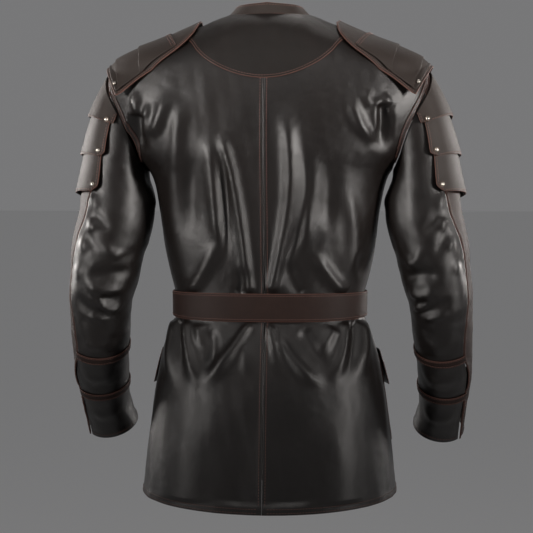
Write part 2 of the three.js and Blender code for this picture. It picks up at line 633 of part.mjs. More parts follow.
const SIDES = { left: 1, right: -1 };
for (const [name, side] of Object.entries(SIDES)) {
  add(`back_${name}`, backPanel(side), LEATHER);
  add(`front_${name}`, frontPanel(side), LEATHER);
  add(`armhole_band_${name}`, armholeBand(side), LEATHER);
  add(`sleeve_${name}`, sleevePanel(side), LEATHER);
  add(`sleeve_strip_${name}`, sleeveStrip(side), BROWN);
  add(`cuff_strap_upper_${name}`, cuffStrap(side, 248), BROWN);
  add(`cuff_strap_lower_${name}`, cuffStrap(side, 322), BROWN);
  add(`shoulder_base_${name}`, shoulderBase(side), MATTE);
  PLATES.forEach((plate, i) => add(`shoulder_plate_${i + 1}_${name}`, shoulderPlate(side, plate), MATTE));
  FLAPS.forEach((flap, i) => add(`arm_flap_${i + 1}_${name}`, armFlap(side, flap), MATTE));
}
const EDGES = { front: -1, back: 1 };
for (const [name, side] of Object.entries(SIDES)) {
  add(`pocket_${name}`, pocket(side), LEATHER);
  add(`pocket_flap_${name}`, pocketFlap(side), LEATHER);
  for (const [edgeName, edge] of Object.entries(EDGES)) {
    FLAPS.forEach((flap, i) => {
      const place = (out) => onFlap(side, flap, 0.5 + edge * RIVET.across, RIVET.up, PLATE + out);
      addDome(`arm_rivet_${i + 1}_${edgeName}_${name}`, { ...RIVET, gap: flap.rivetGap }, place);
    });
    const last = PLATES.at(-1);
    const place = (out) => onPlate(side, last, edge * RIVET.shoulder, 0.72, PLATE + out);
    addDome(`shoulder_rivet_${edgeName}_${name}`, RIVET, place);
  }
}
STUD.levels.forEach((level, i) => {
  addDome(`press_stud_${i + 1}`, STUD, (out) => onBody(1, -90, level, LAP.rise + out));
});
const buckleSeat = onBelt(0, 0.5, BUCKLE.out);
const buckleMesh = add("buckle_frame", buckleFrame(), METAL);
buckleMesh.position.copy(buckleSeat);
buckleMesh.rotation.z = rad(BUCKLE.tilt);
add("buckle_prong", prong(), METAL).position.copy(onBelt(0, 0.5, PRONG.out));
add("yoke", yoke(), MATTE);
add("collar", collar(), MATTE);
add("belt", belt(), BROWN);

export default group;
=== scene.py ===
"""Looks of the leather warrior coat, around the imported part.

Millimetres throughout, turned into metres where a mesh is made. +Z is up, the front faces -Y and the
wearer's left side is +X. Each leather piece is a thin shell on the form of the node that it replaces,
with its creases, seams and bound edges, and the thread that sews it is a piece of its own.
"""

import math
from types import SimpleNamespace as Sizes

import bpy
import numpy as np
from mathutils import Matrix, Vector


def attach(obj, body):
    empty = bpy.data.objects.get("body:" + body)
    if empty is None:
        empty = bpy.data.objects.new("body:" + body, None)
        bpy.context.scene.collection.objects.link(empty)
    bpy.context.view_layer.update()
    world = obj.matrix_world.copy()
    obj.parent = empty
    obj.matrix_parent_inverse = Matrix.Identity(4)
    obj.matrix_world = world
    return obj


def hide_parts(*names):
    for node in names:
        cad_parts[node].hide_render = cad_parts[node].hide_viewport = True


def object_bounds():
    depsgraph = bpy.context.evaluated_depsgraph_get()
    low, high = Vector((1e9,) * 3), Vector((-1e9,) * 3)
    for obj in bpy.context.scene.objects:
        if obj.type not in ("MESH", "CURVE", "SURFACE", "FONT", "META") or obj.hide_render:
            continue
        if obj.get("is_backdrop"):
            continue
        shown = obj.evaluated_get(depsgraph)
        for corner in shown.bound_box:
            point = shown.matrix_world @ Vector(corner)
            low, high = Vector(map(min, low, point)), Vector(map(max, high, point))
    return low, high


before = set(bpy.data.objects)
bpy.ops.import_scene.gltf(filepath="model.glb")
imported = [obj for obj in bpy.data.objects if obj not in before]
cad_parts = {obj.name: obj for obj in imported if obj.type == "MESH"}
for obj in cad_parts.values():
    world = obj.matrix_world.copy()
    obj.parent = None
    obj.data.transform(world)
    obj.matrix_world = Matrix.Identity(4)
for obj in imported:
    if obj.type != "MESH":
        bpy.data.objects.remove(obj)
cad_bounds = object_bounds()

# ---- sizes of the part ----
WALL = 2  # leather of the body and sleeves
SEAM = 0.3  # gap between neighbouring pieces
TRIM = 1.5  # leather of the yoke, straps and pockets
PLATE = 2.5  # stiff leather of the pads and arm flaps
HEM = -777
HEM_DIP = 14
BELT = Sizes(top=-446, bottom=-492, thickness=3, clearance=1.2, start=9.7, end=390, taper=3.744)
LAP = Sizes(over=20, under=15, rise=WALL + SEAM + 0.5)
ARMHOLE = Sizes(centre=-165, half_height=85, half_angle=34, band=9, band_rows=6, gap=1.5)
ARMPIT = ARMHOLE.centre - ARMHOLE.half_height
NECK = 0
COLLAR = Sizes(height=20, front_height=13, wall=2.5, lean=15, end_lean=5, opening=1.5, gap=0.6)
YOKE = Sizes(side=-37, drop=68, roundness=8)
CUFF = 408
STRIP_GAP = 0.7  # degrees between a sleeve's seam and its outer strip
STRAP_OVER = 3  # degrees that a cuff strap reaches over the outer strip
STRAP_WIDTH = 12.5
STRAP_GAP = 0.8
STRAPS = dict(upper=248, lower=322)
VENT = Sizes(width=2.4, start=250, end=290, rise=2.6)
CAP = Sizes(clear=1.4, inner=2.2, top=(0.55, -0.85), armpit=(0.08, -1), swell=1.15)
CAP_DROP = Sizes(creases=200, strip=250)  # length of the sleeve cap that the tables reckon with
SQUARENESS = 2.4  # power of the body's rings, which are rounder at 2
FLAP = Sizes(lift=6.5, gap=1.2, corner=0.14, corner_reach=0.2)
SHOULDER_PLATE = Sizes(wall=2, gap=0.3, reach=0.955)
PAD = Sizes(rest=8.9, roundness=2.3, lowest=-165)  # rest is its height over the shoulder
RELIEF = 1.6  # height of the body's creases against their table
BLUNT = 1.55  # least width of the body's creases, against their height
STUD = Sizes(dome=5.7, height=2.6, gap=0.5, levels=(-100, -195, -290, -385, -560))
RIVET = Sizes(dome=3.4, height=2.4, across=0.445, up=0.16, shoulder=0.84, shoulder_up=0.72, gap=0.2)
BUCKLE = Sizes(long=50, high=54, bar=4.6, corner=7, thickness=3, out=3.4, tilt=5.9, node="buckle_frame")
PRONG = Sizes(root=12, tip=-28, width=4.5, thickness=3, out=9.2, tilt=0, node="buckle_prong")
POCKET = Sizes(start=0.1, end=0.5, bottom_row=2, top_row=5.5, gap=0.7)
POCKET_FLAP = Sizes(start=0.06, end=0.52, bottom_row=4.25, top_row=5.7, gap=0.9, flare=4.5)
SIDES = dict(left=1, right=-1)


def table(text):
    """Columns of numbers, each an array, by the names in the first line. A line with a # is a comment."""
    names, *rows = [line.split() for line in text.strip().splitlines() if "#" not in line]
    return dict(zip(names, np.array(rows, float).T))


# Rings of the body from hem to neck.
BODY = table("""
level width back front drop
-777 209 160 150 0
-690 200 148 140 0
-610 189 134 127 0
-551 178 120 115 0
-512 166 106 106 0
-492 157 99 100 0
-470 154 97 98 0
-449 156 98 100 0
-412 165 103 104 0
-373 173 109 108 0
-313 181 117 115 0
-275 188 123 119 0
-250 199 126 122 0
-221 226 129 124 0
-190 251 130 124 0
-160 270 129 122 1
-127 278 125 118 6
-100 268 120 113 13
-80 250 115 108 20
-63 220 109 103 27
-48 185 102 97 33
-33 150 94 90 39
-18 113 84 82 45
-7 87 72 72 50
0 68 60 62 53
""")

# Centre line and half sizes of the left arm, by distance below the sleeve cap.
ARM = table("""
down x y z across deep
0 250 12 -300 62 68
33 254 17 -333 62 67
74 265 19 -373 60 65
113 271 19 -412 57 62
154 279 14 -452 53 60
176 281 8 -473 51 58
219 284 -5 -514 49 56
265 287 -25 -556 46 52
311 288 -47 -598 44 48
357 286 -69 -639 40 45
408 279 -93 -683 43 45
""")

# Half angle of the outer sleeve strip.
STRIP = table("""
down angle
-250 62
-60 58
0 54
50 46
110 31
145 31
200 43
240 48
285 34
320 40
408 38
""")

# The shoulder plates' ridge, from the neck to the outer end.
SHOULDER = table("""
along x z half drop lean
0 113 -5 31 15 0.15
0.06 121 -9 56 24 0.35
0.14 134 -15 76 32 0.5
0.31 162.5 -28 93 40 0.5
0.57 208 -53 98 45 0.3
0.81 245 -73 100 52 0.3
1 267 -81 103 49 0.57
""")

FLAPS = [
    Sizes(top=-0.96, top_tilt=0.03, bottom=-0.6, tilt=0.28, half=84),
    Sizes(top=-0.68, top_tilt=0.24, bottom=-0.31, tilt=0.14, half=78),
    Sizes(top=-0.4, top_tilt=0.12, bottom=-0.02, tilt=0, half=71),
]
PLATES = [
    Sizes(start=0.3, end=0.59, lift=2.3),
    Sizes(start=0.56, end=0.84, lift=2.3),
    Sizes(start=0.81, end=0.955, lift=0.3),
]

# Creases of the body, on its back (face 1) or its front (face -1). Each is a curve from point 0 past point
# 1 to point 2, with its width and height at both ends and the shares of its length over which it rises and
# falls. A negative height is a trough.
CREASES = table("""
face x0 z0 x1 z1 x2 z2 wide0 wide1 high0 high1 rise fall
# above the belt: long ridges that gather towards it
1 -25 -140 -42 -260 -9 -449 15 8 5.5 6 0.35 0.03
1 70 -186 44 -285 24 -449 10 8 4.5 5 0.2 0.03
1 88 -180 78 -290 70 -385 13 12 4.5 6.5 0.25 0.3
1 74 -360 96 -405 124 -449 13 10 4 4.5 0.35 0.05
1 125 -130 142 -230 150 -390 12 14 3.5 4 0.3 0.4
1 -66 -200 -62 -300 -66 -380 20 18 3 5 0.4 0.35
1 -74 -375 -98 -412 -126 -447 10 9 3.5 5 0.35 0.05
1 -122 -270 -142 -350 -126 -430 13 11 2.5 3 0.4 0.3
1 150 -120 166 -165 184 -200 13 9 4 5 0.35 0.35
1 -138 -118 -148 -170 -176 -208 12 7 3.5 5 0.35 0.3
1 204 -120 206 -146 203 -160 7 6 4 4 0.4 0.3
1 184 -140 192 -175 200 -215 7 8 4 4 0.3 0.4
1 -179 -132 -177 -165 -180 -212 5 7 4 4.5 0.3 0.4
1 -186 -128 -196 -150 -200 -176 6 7 3.5 3.5 0.3 0.4
1 -158 -120 -163 -140 -170 -155 7 6 3 3 0.4 0.4
# troughs between them
1 66 -215 62 -300 60 -400 9 7 -3.5 -5 0.4 0.3
1 112 -210 118 -290 112 -370 13 16 -3 -5 0.4 0.4
1 -60 -200 -64 -300 -30 -420 8 8 -3.5 -4 0.4 0.3
1 -102 -215 -104 -290 -96 -350 16 14 -3 -4.5 0.4 0.4
1 -150 -376 -153 -404 -151 -430 9 8 -3 -2 0.4 0.5
1 206 -160 206 -190 200 -235 5 6 -8 -8 0.12 0.4
1 -188 -143 -188 -180 -182 -225 5 6 -8 -8 0.12 0.4
1 40 -400 34 -425 44 -449 12 9 -2.5 -3.5 0.4 0.05
1 -40 -390 -44 -420 -58 -449 14 10 -2.5 -3 0.4 0.05
# below the belt: short ridges that fan out and fade
1 -6 -492 -16 -530 -26 -585 5 11 5 4 0.03 0.6
1 24 -492 58 -545 108 -602 6 13 5 6.5 0.03 0.45
1 27 -515 29 -550 27 -590 7 8 1.8 1.8 0.4 0.5
1 132 -492 122 -545 104 -604 6 12 5 6 0.03 0.4
1 152 -492 158 -545 144 -615 6 12 4.5 5 0.03 0.45
1 107 -495 106 -515 102 -535 10 9 3.5 3 0.2 0.5
1 -22 -505 -56 -560 -98 -592 7 10 3 5.5 0.25 0.4
1 -112 -500 -100 -520 -84 -545 10 9 3.5 3 0.2 0.5
1 -128 -492 -124 -540 -108 -590 6 11 5 5.5 0.03 0.4
1 -149 -492 -158 -535 -142 -600 6 12 5 5 0.03 0.45
1 90 -500 84 -540 92 -575 10 7 -3 -4 0.2 0.4
1 -60 -500 -76 -530 -104 -575 11 7 -3 -4 0.2 0.4
1 143 -492 140 -530 126 -590 4 7 -4 -3 0.03 0.5
1 -139 -492 -141 -530 -126 -590 4 7 -4 -3 0.03 0.5
# the skirt's slow waves
1 120 -640 128 -700 130 -775 26 30 3 3 0.5 0.02
1 -112 -640 -124 -700 -128 -775 26 30 3 3 0.5 0.02
1 40 -600 34 -690 36 -775 30 34 -3 -3 0.5 0.02
1 -44 -600 -40 -690 -44 -775 30 34 -3 -3 0.5 0.02
# the same on the front
-1 62 -235 66 -340 48 -449 13 9 3.5 5 0.4 0.03
-1 -58 -225 -66 -330 -50 -449 14 9 3.5 5 0.4 0.03
-1 112 -300 118 -380 98 -449 13 10 3.5 4.5 0.4 0.03
-1 -118 -290 -112 -370 -100 -449 13 10 3.5 4.5 0.4 0.03
-1 150 -330 146 -390 134 -449 11 9 3 4 0.4 0.05
-1 -146 -340 -150 -400 -132 -449 11 9 3 4 0.4 0.05
-1 88 -260 92 -350 76 -420 9 8 -3 -4 0.4 0.3
-1 -90 -250 -92 -340 -78 -415 9 8 -3 -4 0.4 0.3
-1 180 -140 168 -180 160 -225 8 9 4 4 0.3 0.4
-1 -178 -140 -170 -176 -162 -220 8 9 4 4 0.3 0.4
-1 196 -150 192 -185 184 -225 5 6 -5 -5 0.2 0.4
-1 -196 -150 -190 -185 -184 -225 5 6 -5 -5 0.2 0.4
-1 58 -492 66 -530 60 -575 6 11 4.5 3.5 0.03 0.5
-1 -56 -492 -66 -535 -60 -580 6 11 4.5 3.5 0.03 0.5
-1 104 -492 116 -535 112 -590 6 12 4.5 4 0.03 0.5
-1 -100 -492 -112 -530 -112 -590 6 12 4.5 4 0.03 0.5
-1 84 -498 90 -530 88 -560 6 8 -3 -3 0.1 0.5
-1 -80 -498 -88 -530 -88 -560 6 8 -3 -3 0.1 0.5
""")

# Creases of each sleeve, on its developed surface: x is the turn in degrees, about a millimetre each,
# and z is minus the distance down. The first column is the side: 1 left, -1 right, 0 both.
SLEEVE_CREASES = table("""
face x0 z0 x1 z1 x2 z2 wide0 wide1 high0 high1 rise fall
1 93 -64 108 -84 132 -74 8 7 4.5 4 0.3 0.4
1 64 -122 105 -112 150 -108 8 7 -5 -6 0.3 0.3
1 72 -132 106 -136 152 -126 6 6 4.5 4 0.25 0.4
1 98 -144 114 -147 134 -144 5 5 -5 -5 0.3 0.3
1 92 -147 117 -164 150 -152 3.6 3.6 5.5 5 0.3 0.4
1 42 -154 85 -164 128 -172 7 7 -5 -5 0.3 0.3
1 76 -172 96 -175 120 -178 6 6 3 2.5 0.3 0.4
1 60 4 64 -14 70 -28 8 8 3.5 3.5 0.4 0.4
1 60 -36 66 -50 72 -60 7 7 3.5 3.5 0.4 0.4
1 50 -68 58 -80 66 -90 7 7 3.5 3.5 0.4 0.4
1 44 -104 50 -118 60 -124 7 8 3 3 0.4 0.4
1 62 -28 80 -40 100 -52 7 8 -3 -3 0.3 0.4
1 56 -62 72 -72 88 -96 7 8 -3 -3 0.3 0.4
1 60 -215 90 -224 130 -212 7 7 2.5 2 0.4 0.4
1 70 -236 110 -240 150 -228 6 6 -2.5 -2 0.3 0.4
1 60 -278 95 -286 140 -272 8 7 2.5 2 0.3 0.4
1 66 -300 100 -306 140 -298 7 7 -2.5 -2 0.3 0.4
1 60 -352 100 -362 150 -350 8 8 2.5 2 0.3 0.4
-1 142 -76 122 -94 100 -56 8 7 4.5 4 0.3 0.4
-1 156 -120 114 -110 80 -122 7 8 -6 -5 0.3 0.3
-1 152 -128 120 -140 88 -130 6 7 4.5 4.5 0.3 0.35
-1 134 -150 122 -150 108 -146 4 4 -3 -3 0.3 0.3
-1 150 -159 124 -158 106 -144 4 3.6 5 4.5 0.3 0.4
-1 142 -167 99 -158 68 -150 7 7 -6 -5 0.3 0.3
-1 134 -174 98 -170 74 -164 6 6 3.5 3 0.3 0.4
-1 60 4 64 -12 72 -26 8 8 3.5 3.5 0.4 0.4
-1 60 -34 66 -46 74 -56 7 7 3.5 3.5 0.4 0.4
-1 52 -66 60 -76 70 -84 7 7 3.5 3.5 0.4 0.4
-1 46 -100 54 -110 62 -116 7 8 3 3 0.4 0.4
-1 62 -26 84 -42 104 -48 7 8 -3 -3 0.3 0.4
-1 56 -58 74 -72 92 -100 7 8 -3 -3 0.3 0.4
-1 64 -210 96 -220 136 -214 7 7 2.5 2 0.4 0.4
-1 66 -234 106 -238 150 -232 6 6 -2.5 -2 0.3 0.4
-1 60 -276 100 -284 144 -276 8 7 2.5 2 0.3 0.4
-1 66 -302 104 -304 146 -296 7 7 -2.5 -2 0.3 0.4
-1 60 -350 104 -364 150 -354 8 8 2.5 2 0.3 0.4
# on the inner and front sides, the same on both sleeves
0 216 -30 250 -52 292 -40 8 8 3.5 3 0.4 0.4
0 222 -92 262 -112 300 -98 7 7 4 4 0.3 0.4
0 226 -108 264 -128 304 -116 6 6 -4.5 -4 0.3 0.4
0 218 -140 258 -150 300 -142 6 6 4.5 4 0.3 0.4
0 222 -156 262 -164 304 -154 6 6 -4.5 -4 0.3 0.4
0 220 -176 256 -184 296 -172 7 7 3.5 3 0.3 0.4
0 216 -214 256 -224 300 -210 7 7 2.5 2 0.4 0.4
0 216 -290 260 -300 300 -288 8 8 2.5 2 0.4 0.4
0 216 -352 256 -362 296 -350 8 8 2 2 0.4 0.4
""")


# ---- small helpers ----
def sind(x):
    return np.sin(np.radians(x))


def cosd(x):
    return np.cos(np.radians(x))


def lerp(a, b, t):
    return a + (b - a) * t


def ease(start, end, x):
    t = np.clip((x - start) / (end - start), 0, 1)
    return t * t * (3 - 2 * t)


def vector(x, y, z):
    return np.stack(np.broadcast_arrays(x, y, z), -1).astype(float)


def unit(v):
    return v / np.maximum(np.linalg.norm(v, axis=-1, keepdims=True), 1e-9)


def smooth(rows, name, x):
    """Column `name` where the first column is x, on a smooth curve through the rows."""
    keys, values = next(iter(rows.values())), rows[name]
    before = np.maximum(np.arange(len(keys)) - 1, 0)
    after = np.minimum(np.arange(len(keys)) + 1, len(keys) - 1)
    slopes = (values[after] - values[before]) / (keys[after] - keys[before])
    i = np.clip(np.searchsorted(keys, x, side="right") - 1, 0, len(keys) - 2)
    step = keys[i + 1] - keys[i]
    t = np.clip((x - keys[i]) / step, 0, 1)
    bend = slopes[i] * t * (1 - t) ** 2 - slopes[i + 1] * t * t * (1 - t)
    return lerp(values[i], values[i + 1], t * t * (3 - 2 * t)) + step * bend


def normal(surface, u, v, du, dv, facing):
    along = surface(u + du, v) - surface(u - du, v)
    up = surface(u, v + dv) - surface(u, v - dv)
    return unit(np.cross(along, up)) * np.asarray(facing, float)[..., None]


def creases(rows, which, x, z, blunt=0.0):
    """Height of the creases whose first column is `which`, at the points (x, z).

    None is narrower than `blunt` times its height.
    """
    height = np.zeros(np.shape(x))
    steps = np.linspace(0, 1, 9)
    for k in np.flatnonzero(rows["face"] == which):
        row = {name: column[k] for name, column in rows.items()}
        path = []
        for axis in "xz":
            start, middle, end = (row[axis + point] for point in "012")
            path.append(lerp(start, end, steps) + 4 * steps * (1 - steps) * (middle - (start + end) / 2))
        reach = 2.6 * max(row["wide0"], row["wide1"])  # further out a crease has hardly any height
        near = (x > path[0].min() - reach) & (x < path[0].max() + reach)
        near &= (z > path[1].min() - reach) & (z < path[1].max() + reach)
        if not near.any():
            continue
        px, pz = x[near], z[near]
        best = np.full(px.shape, 1e9)
        share = np.zeros(px.shape)
        for j in range(len(steps) - 1):
            ax, az = path[0][j], path[1][j]
            dx, dz = path[0][j + 1] - ax, path[1][j + 1] - az
            t = np.clip(((px - ax) * dx + (pz - az) * dz) / (dx * dx + dz * dz), 0, 1)
            distance = np.hypot(px - ax - t * dx, pz - az - t * dz)
            closer = distance < best
            best[closer] = distance[closer]
            share[closer] = (j + t[closer]) / (len(steps) - 1)
        envelope = ease(0, row["rise"], share) * ease(1, 1 - row["fall"], share)
        high = lerp(row["high0"], row["high1"], share)
        wide = np.maximum(lerp(row["wide0"], row["wide1"], share), blunt * np.abs(high))
        height[near] += high * envelope * np.exp(-((best / wide) ** 2))
    return height


def ripple(points, low, high, waves, seed):
    """A random soft unevenness of about unit height, with wavelengths from low to high."""
    random = np.random.default_rng(seed)
    total = np.zeros(points.shape[:-1])
    for _ in range(waves):
        direction = unit(random.normal(size=3))
        k = direction * 2 * math.pi / random.uniform(low, high)
        total += np.sin(points @ k + random.uniform(0, 2 * math.pi))
    return total / math.sqrt(waves / 2)


# ---- the body ----
def body_surface(side):
    def surface(angle, level):
        c, s = cosd(angle), sind(angle)
        size = (np.abs(c) ** SQUARENESS + np.abs(s) ** SQUARENESS) ** (-1 / SQUARENESS)
        deep = np.where(s > 0, smooth(BODY, "back", level), smooth(BODY, "front", level))
        dip = HEM_DIP * s * s * ease(BELT.bottom, HEM, level)
        fall = np.where(s < 0, smooth(BODY, "drop", level), 0)
        width = smooth(BODY, "width", level)
        return vector(side * size * c * width, size * s * deep, level - dip - fall * (s * size) ** 2)

    return surface


def body_relief(p):
    """Height of the body's creases and unevenness, which fade out under the belt."""
    face = np.where(p[..., 1] > 0, 1, -1)
    height = np.zeros(face.shape)
    for which in (1, -1):
        side = creases(CREASES, which, p[..., 0], p[..., 2], BLUNT)
        height += np.where(face == which, RELIEF * side * ease(0, 30, np.abs(p[..., 1])), 0)
    height += 0.3 * ripple(p * (1, 1, 0.4), low=22, high=60, waves=28, seed=3)
    height += 0.07 * ripple(p, low=9, high=20, waves=30, seed=4)
    from_belt = np.maximum(BELT.bottom - p[..., 2], p[..., 2] - BELT.top)
    return np.where(height > 0, height * ease(0, 10, from_belt), height * ease(-16, -2, from_belt))


def on_body(side, angle, level, relief=True):
    """Points and normals of the body; an angle of 90 is the middle of the back and -90 that of the front."""
    surface = body_surface(side)
    p = surface(angle, level)
    n = normal(surface, angle, level, 0.5, 1.0, np.broadcast_to(side, p.shape[:-1]))
    if relief:
        p = p + n * body_relief(p)[..., None]
    return p, n


def armhole_level(turn):
    return ARMHOLE.centre + ARMHOLE.half_height * cosd(turn)


def armhole_angle(turn):
    return ARMHOLE.half_angle * sind(turn)


# Rows of the body panels: their levels at the side from hem to neck, and their turns round the armhole.
ROWS = np.array([0, 7, 9, 15, 23, 25, 30])
TURNS = np.array([180, 148, 125, 105, 85, 65, 44, 22, 0])
ARMHOLE_TOP = ARMHOLE.centre + ARMHOLE.half_height
LEVELS = np.array([HEM, BELT.bottom, BELT.top, ARMPIT, ARMHOLE_TOP, YOKE.side, NECK])
ARMHOLE_ROW = 15
BACK_COLUMNS = 14


def panel_row(row, across):
    """A row's level, and the angle of the panel's edge there. Only the edge itself follows the armhole."""
    turn = np.interp(row, np.arange(ARMHOLE_ROW, ARMHOLE_ROW + len(TURNS)), TURNS)
    beside = (row >= ARMHOLE_ROW) & (row <= ARMHOLE_ROW + len(TURNS) - 1)
    even = np.interp(row, ROWS, LEVELS)
    level = np.where(beside, lerp(even, armhole_level(turn), across**3), even)
    return level, np.where(beside, armhole_angle(turn), 0)


def degrees_across(length, level):
    return np.degrees(length / smooth(BODY, "width", level))


def yoke_edge(across):
    return YOKE.side - YOKE.drop * cosd(90 * across) ** YOKE.roundness


def back_point(side, across, row):
    level, edge = panel_row(row, across)
    angle = lerp(90 - degrees_across(SEAM / 2, level), edge + degrees_across(SEAM, level), across)
    share = np.clip((level - ARMPIT) / (YOKE.side - ARMPIT), 0, 1)
    lowered = level - share * (YOKE.side - yoke_edge(across))
    above_yoke = np.clip((level - YOKE.side) / (NECK - YOKE.side), 0, 1)
    return on_body(side, angle, lerp(lowered, NECK, above_yoke))


def lap_rise(x):
    return LAP.rise * ease(LAP.under + 70, LAP.under + 30, np.abs(x))


def front_point(side, across, row):
    level, edge = panel_row(row, 1 - across)
    past = LAP.over if side > 0 else LAP.under
    angle = lerp(-edge - degrees_across(SEAM, level), -90 - degrees_across(past, level), across)
    p, n = on_body(side, angle, level)
    if side > 0:
        x = smooth(BODY, "width", level) * cosd(angle)
        p = p + n * lap_rise(x)[..., None]
    return p, n


def pocket_point(side, s, t):
    return front_point(side, lerp(POCKET.start, POCKET.end, s), lerp(POCKET.bottom_row, POCKET.top_row, t))


def pocket_flap_point(side, s, t):
    across = lerp(POCKET_FLAP.start, POCKET_FLAP.end, s)
    p, n = front_point(side, across, lerp(POCKET_FLAP.bottom_row, POCKET_FLAP.top_row, t))
    return p + n * (POCKET_FLAP.flare * (1 - t))[..., None], n


def yoke_point(across, row):
    """across runs from -1 at the right shoulder to 1 at the left one."""
    left = back_point(1, np.abs(across), row)
    right = back_point(-1, np.abs(across), row)
    return tuple(np.where((across > 0)[..., None], a, b) for a, b in zip(left, right))


def band_point(side, share, up):
    row = ARMHOLE_ROW + 1 + ARMHOLE.band_rows * up
    outer, _ = back_point(side, np.ones(np.shape(row)), row)
    inner, _ = back_point(side, np.full(np.shape(row), 1 - 1 / BACK_COLUMNS), row)
    width = np.minimum(1, ARMHOLE.band / np.linalg.norm(outer - inner, axis=-1))
    return back_point(side, 1 - share * width / BACK_COLUMNS, row)


def collar_point(share, up):
    side = np.where(share < 0.5, 1, -1)
    angle = lerp(90, -90 + COLLAR.opening, np.abs(2 * share - 1))
    base, _ = on_body(side, angle, np.full(np.shape(share), float(NECK)), relief=False)
    inwards = unit(base * (-1, -1, 0))
    front = (90 - angle) / 180
    height = lerp(COLLAR.height, COLLAR.front_height, front**0.6)
    lean = lerp(COLLAR.end_lean, COLLAR.lean, np.sin(math.pi * front))
    p = base + inwards * (up * lean)[..., None]
    p[..., 2] += COLLAR.gap + up * height
    return p, -inwards


# ---- the sleeves ----
def arm_ring(turn, down):
    def centre(d):
        return vector(*(smooth(ARM, name, d) for name in "xyz"))

    axis = unit(centre(down + 2) - centre(down - 2))
    outwards = unit(np.array([1.0, 0, 0]) - axis * axis[..., :1])
    backwards = np.cross(axis, outwards)
    backwards = backwards * np.where(backwards[..., 1:2] < 0, -1, 1)
    across = smooth(ARM, "across", down) * cosd(turn)
    deep = smooth(ARM, "deep", down) * sind(turn)
    return centre(down) + outwards * across[..., None] + backwards * deep[..., None], axis


def sleeve_surface(side):
    """down runs from -1 at the armhole to 0 below the cap, then on in millimetres to the cuff."""

    def surface(turn, down):
        turn, down = np.broadcast_arrays(turn, down)
        arm, _ = arm_ring(turn, np.clip(down, 0, CUFF))
        top = (1 + cosd(turn)) / 2
        start, _ = on_body(1, armhole_angle(turn), armhole_level(turn), relief=False)
        leave_x, leave_z = (lerp(low, high, top) for low, high in zip(CAP.armpit, CAP.top))
        leave = unit(vector(leave_x, 0, leave_z))
        start = start + leave * CAP.clear + vector(CAP.inner * (1 - top), 0, 0)
        end, axis = arm_ring(turn, np.zeros(turn.shape))
        reach = np.linalg.norm(end - start, axis=-1)
        t = np.minimum(down, 0) + 1
        swell = t * (1 - t) ** 2 * reach * CAP.swell
        back = -t * t * (1 - t) * reach
        cap = start + (end - start) * (t * t * (3 - 2 * t))[..., None]
        cap = cap + leave * swell[..., None] + axis * back[..., None]
        return np.where((down < 0)[..., None], cap, arm) * (side, 1, 1)

    return surface


def sleeve_relief(side, turn, down, p):
    x = np.mod(turn, 360)
    z = -np.where(down < 0, down * CAP_DROP.creases, down)
    height = creases(SLEEVE_CREASES, side, x, z) + creases(SLEEVE_CREASES, 0, x, z)
    height += 0.35 * ripple(p, low=24, high=60, waves=28, seed=5)
    height += 0.08 * ripple(p, low=9, high=20, waves=30, seed=6)
    under_flaps = (down < 0) & (cosd(turn) > cosd(92))
    height = np.where(under_flaps, np.minimum(height, 0.3), height)
    for middle in STRAPS.values():
        from_strap = np.abs(down - middle) - STRAP_WIDTH / 2
        height *= np.where(down < 0, 1, ease(-1, 9, from_strap))
    return height * ease(CUFF, CUFF - 14, down)


def on_sleeve(side, turn, down, relief=True):
    turn, down = np.broadcast_arrays(np.asarray(turn, float), np.asarray(down, float))
    surface = sleeve_surface(side)
    p = surface(turn, down)
    n = normal(surface, turn, down, 0.5, np.where(down < 0, 0.01, 1.0), np.full(turn.shape, -side))
    if relief:
        p = p + n * sleeve_relief(side, turn, down, p)[..., None]
    return p, n


def strip_angle(down):
    return smooth(STRIP, "angle", np.where(down < 0, down * CAP_DROP.strip, down))


def sleeve_point(side, s, down):
    half = strip_angle(down) + VENT.width * ease(VENT.start, VENT.end, down)
    return on_sleeve(side, lerp(half, 360 - half, s), down)


def strip_point(side, s, down):
    half = strip_angle(down) - STRIP_GAP
    p, n = on_sleeve(side, lerp(-half, half, s), down)
    edge = ease(0.72, 0.98, np.abs(2 * s - 1)) * ease(VENT.start - 14, VENT.start + 20, down)
    for middle in STRAPS.values():
        edge = edge * ease(STRAP_WIDTH / 2, STRAP_WIDTH + 8, np.abs(down - middle))
    return p + n * (VENT.rise * edge)[..., None], n


def strap_point(side, middle, s, t):
    down = middle + (t - 0.5) * STRAP_WIDTH
    half = strip_angle(down) - STRAP_OVER
    return on_sleeve(side, lerp(half, 360 - half, s), down, relief=False)


def flap_point(side, flap, s, t):
    corner = FLAP.corner * np.maximum(0, 1 - t / FLAP.corner_reach) ** 2
    turn = flap.half * (2 * s - 1) * (1 - corner)
    behind = 1 - cosd(turn)
    down = lerp(flap.bottom - flap.tilt * behind, flap.top - flap.top_tilt * behind, t)
    p, n = on_sleeve(side, turn, down, relief=False)
    return p + n * (FLAP.gap + FLAP.lift * (1 - t) ** 1.3)[..., None], n


# ---- the shoulder plates ----
def shoulder_height(x, y):
    low, high = np.full(np.shape(x), float(PAD.lowest)), np.full(np.shape(x), float(NECK))
    for _ in range(20):
        level = (low + high) / 2
        half = np.where(y > 0, smooth(BODY, "back", level), smooth(BODY, "front", level))
        across = x / smooth(BODY, "width", level)
        inside = across**SQUARENESS + (np.abs(y) / half) ** SQUARENESS < 1
        low, high = np.where(inside, level, low), np.where(inside, high, level)
    front = smooth(BODY, "front", low)
    return np.where(y > 0, low, low - smooth(BODY, "drop", low) * (y / front) ** 2)


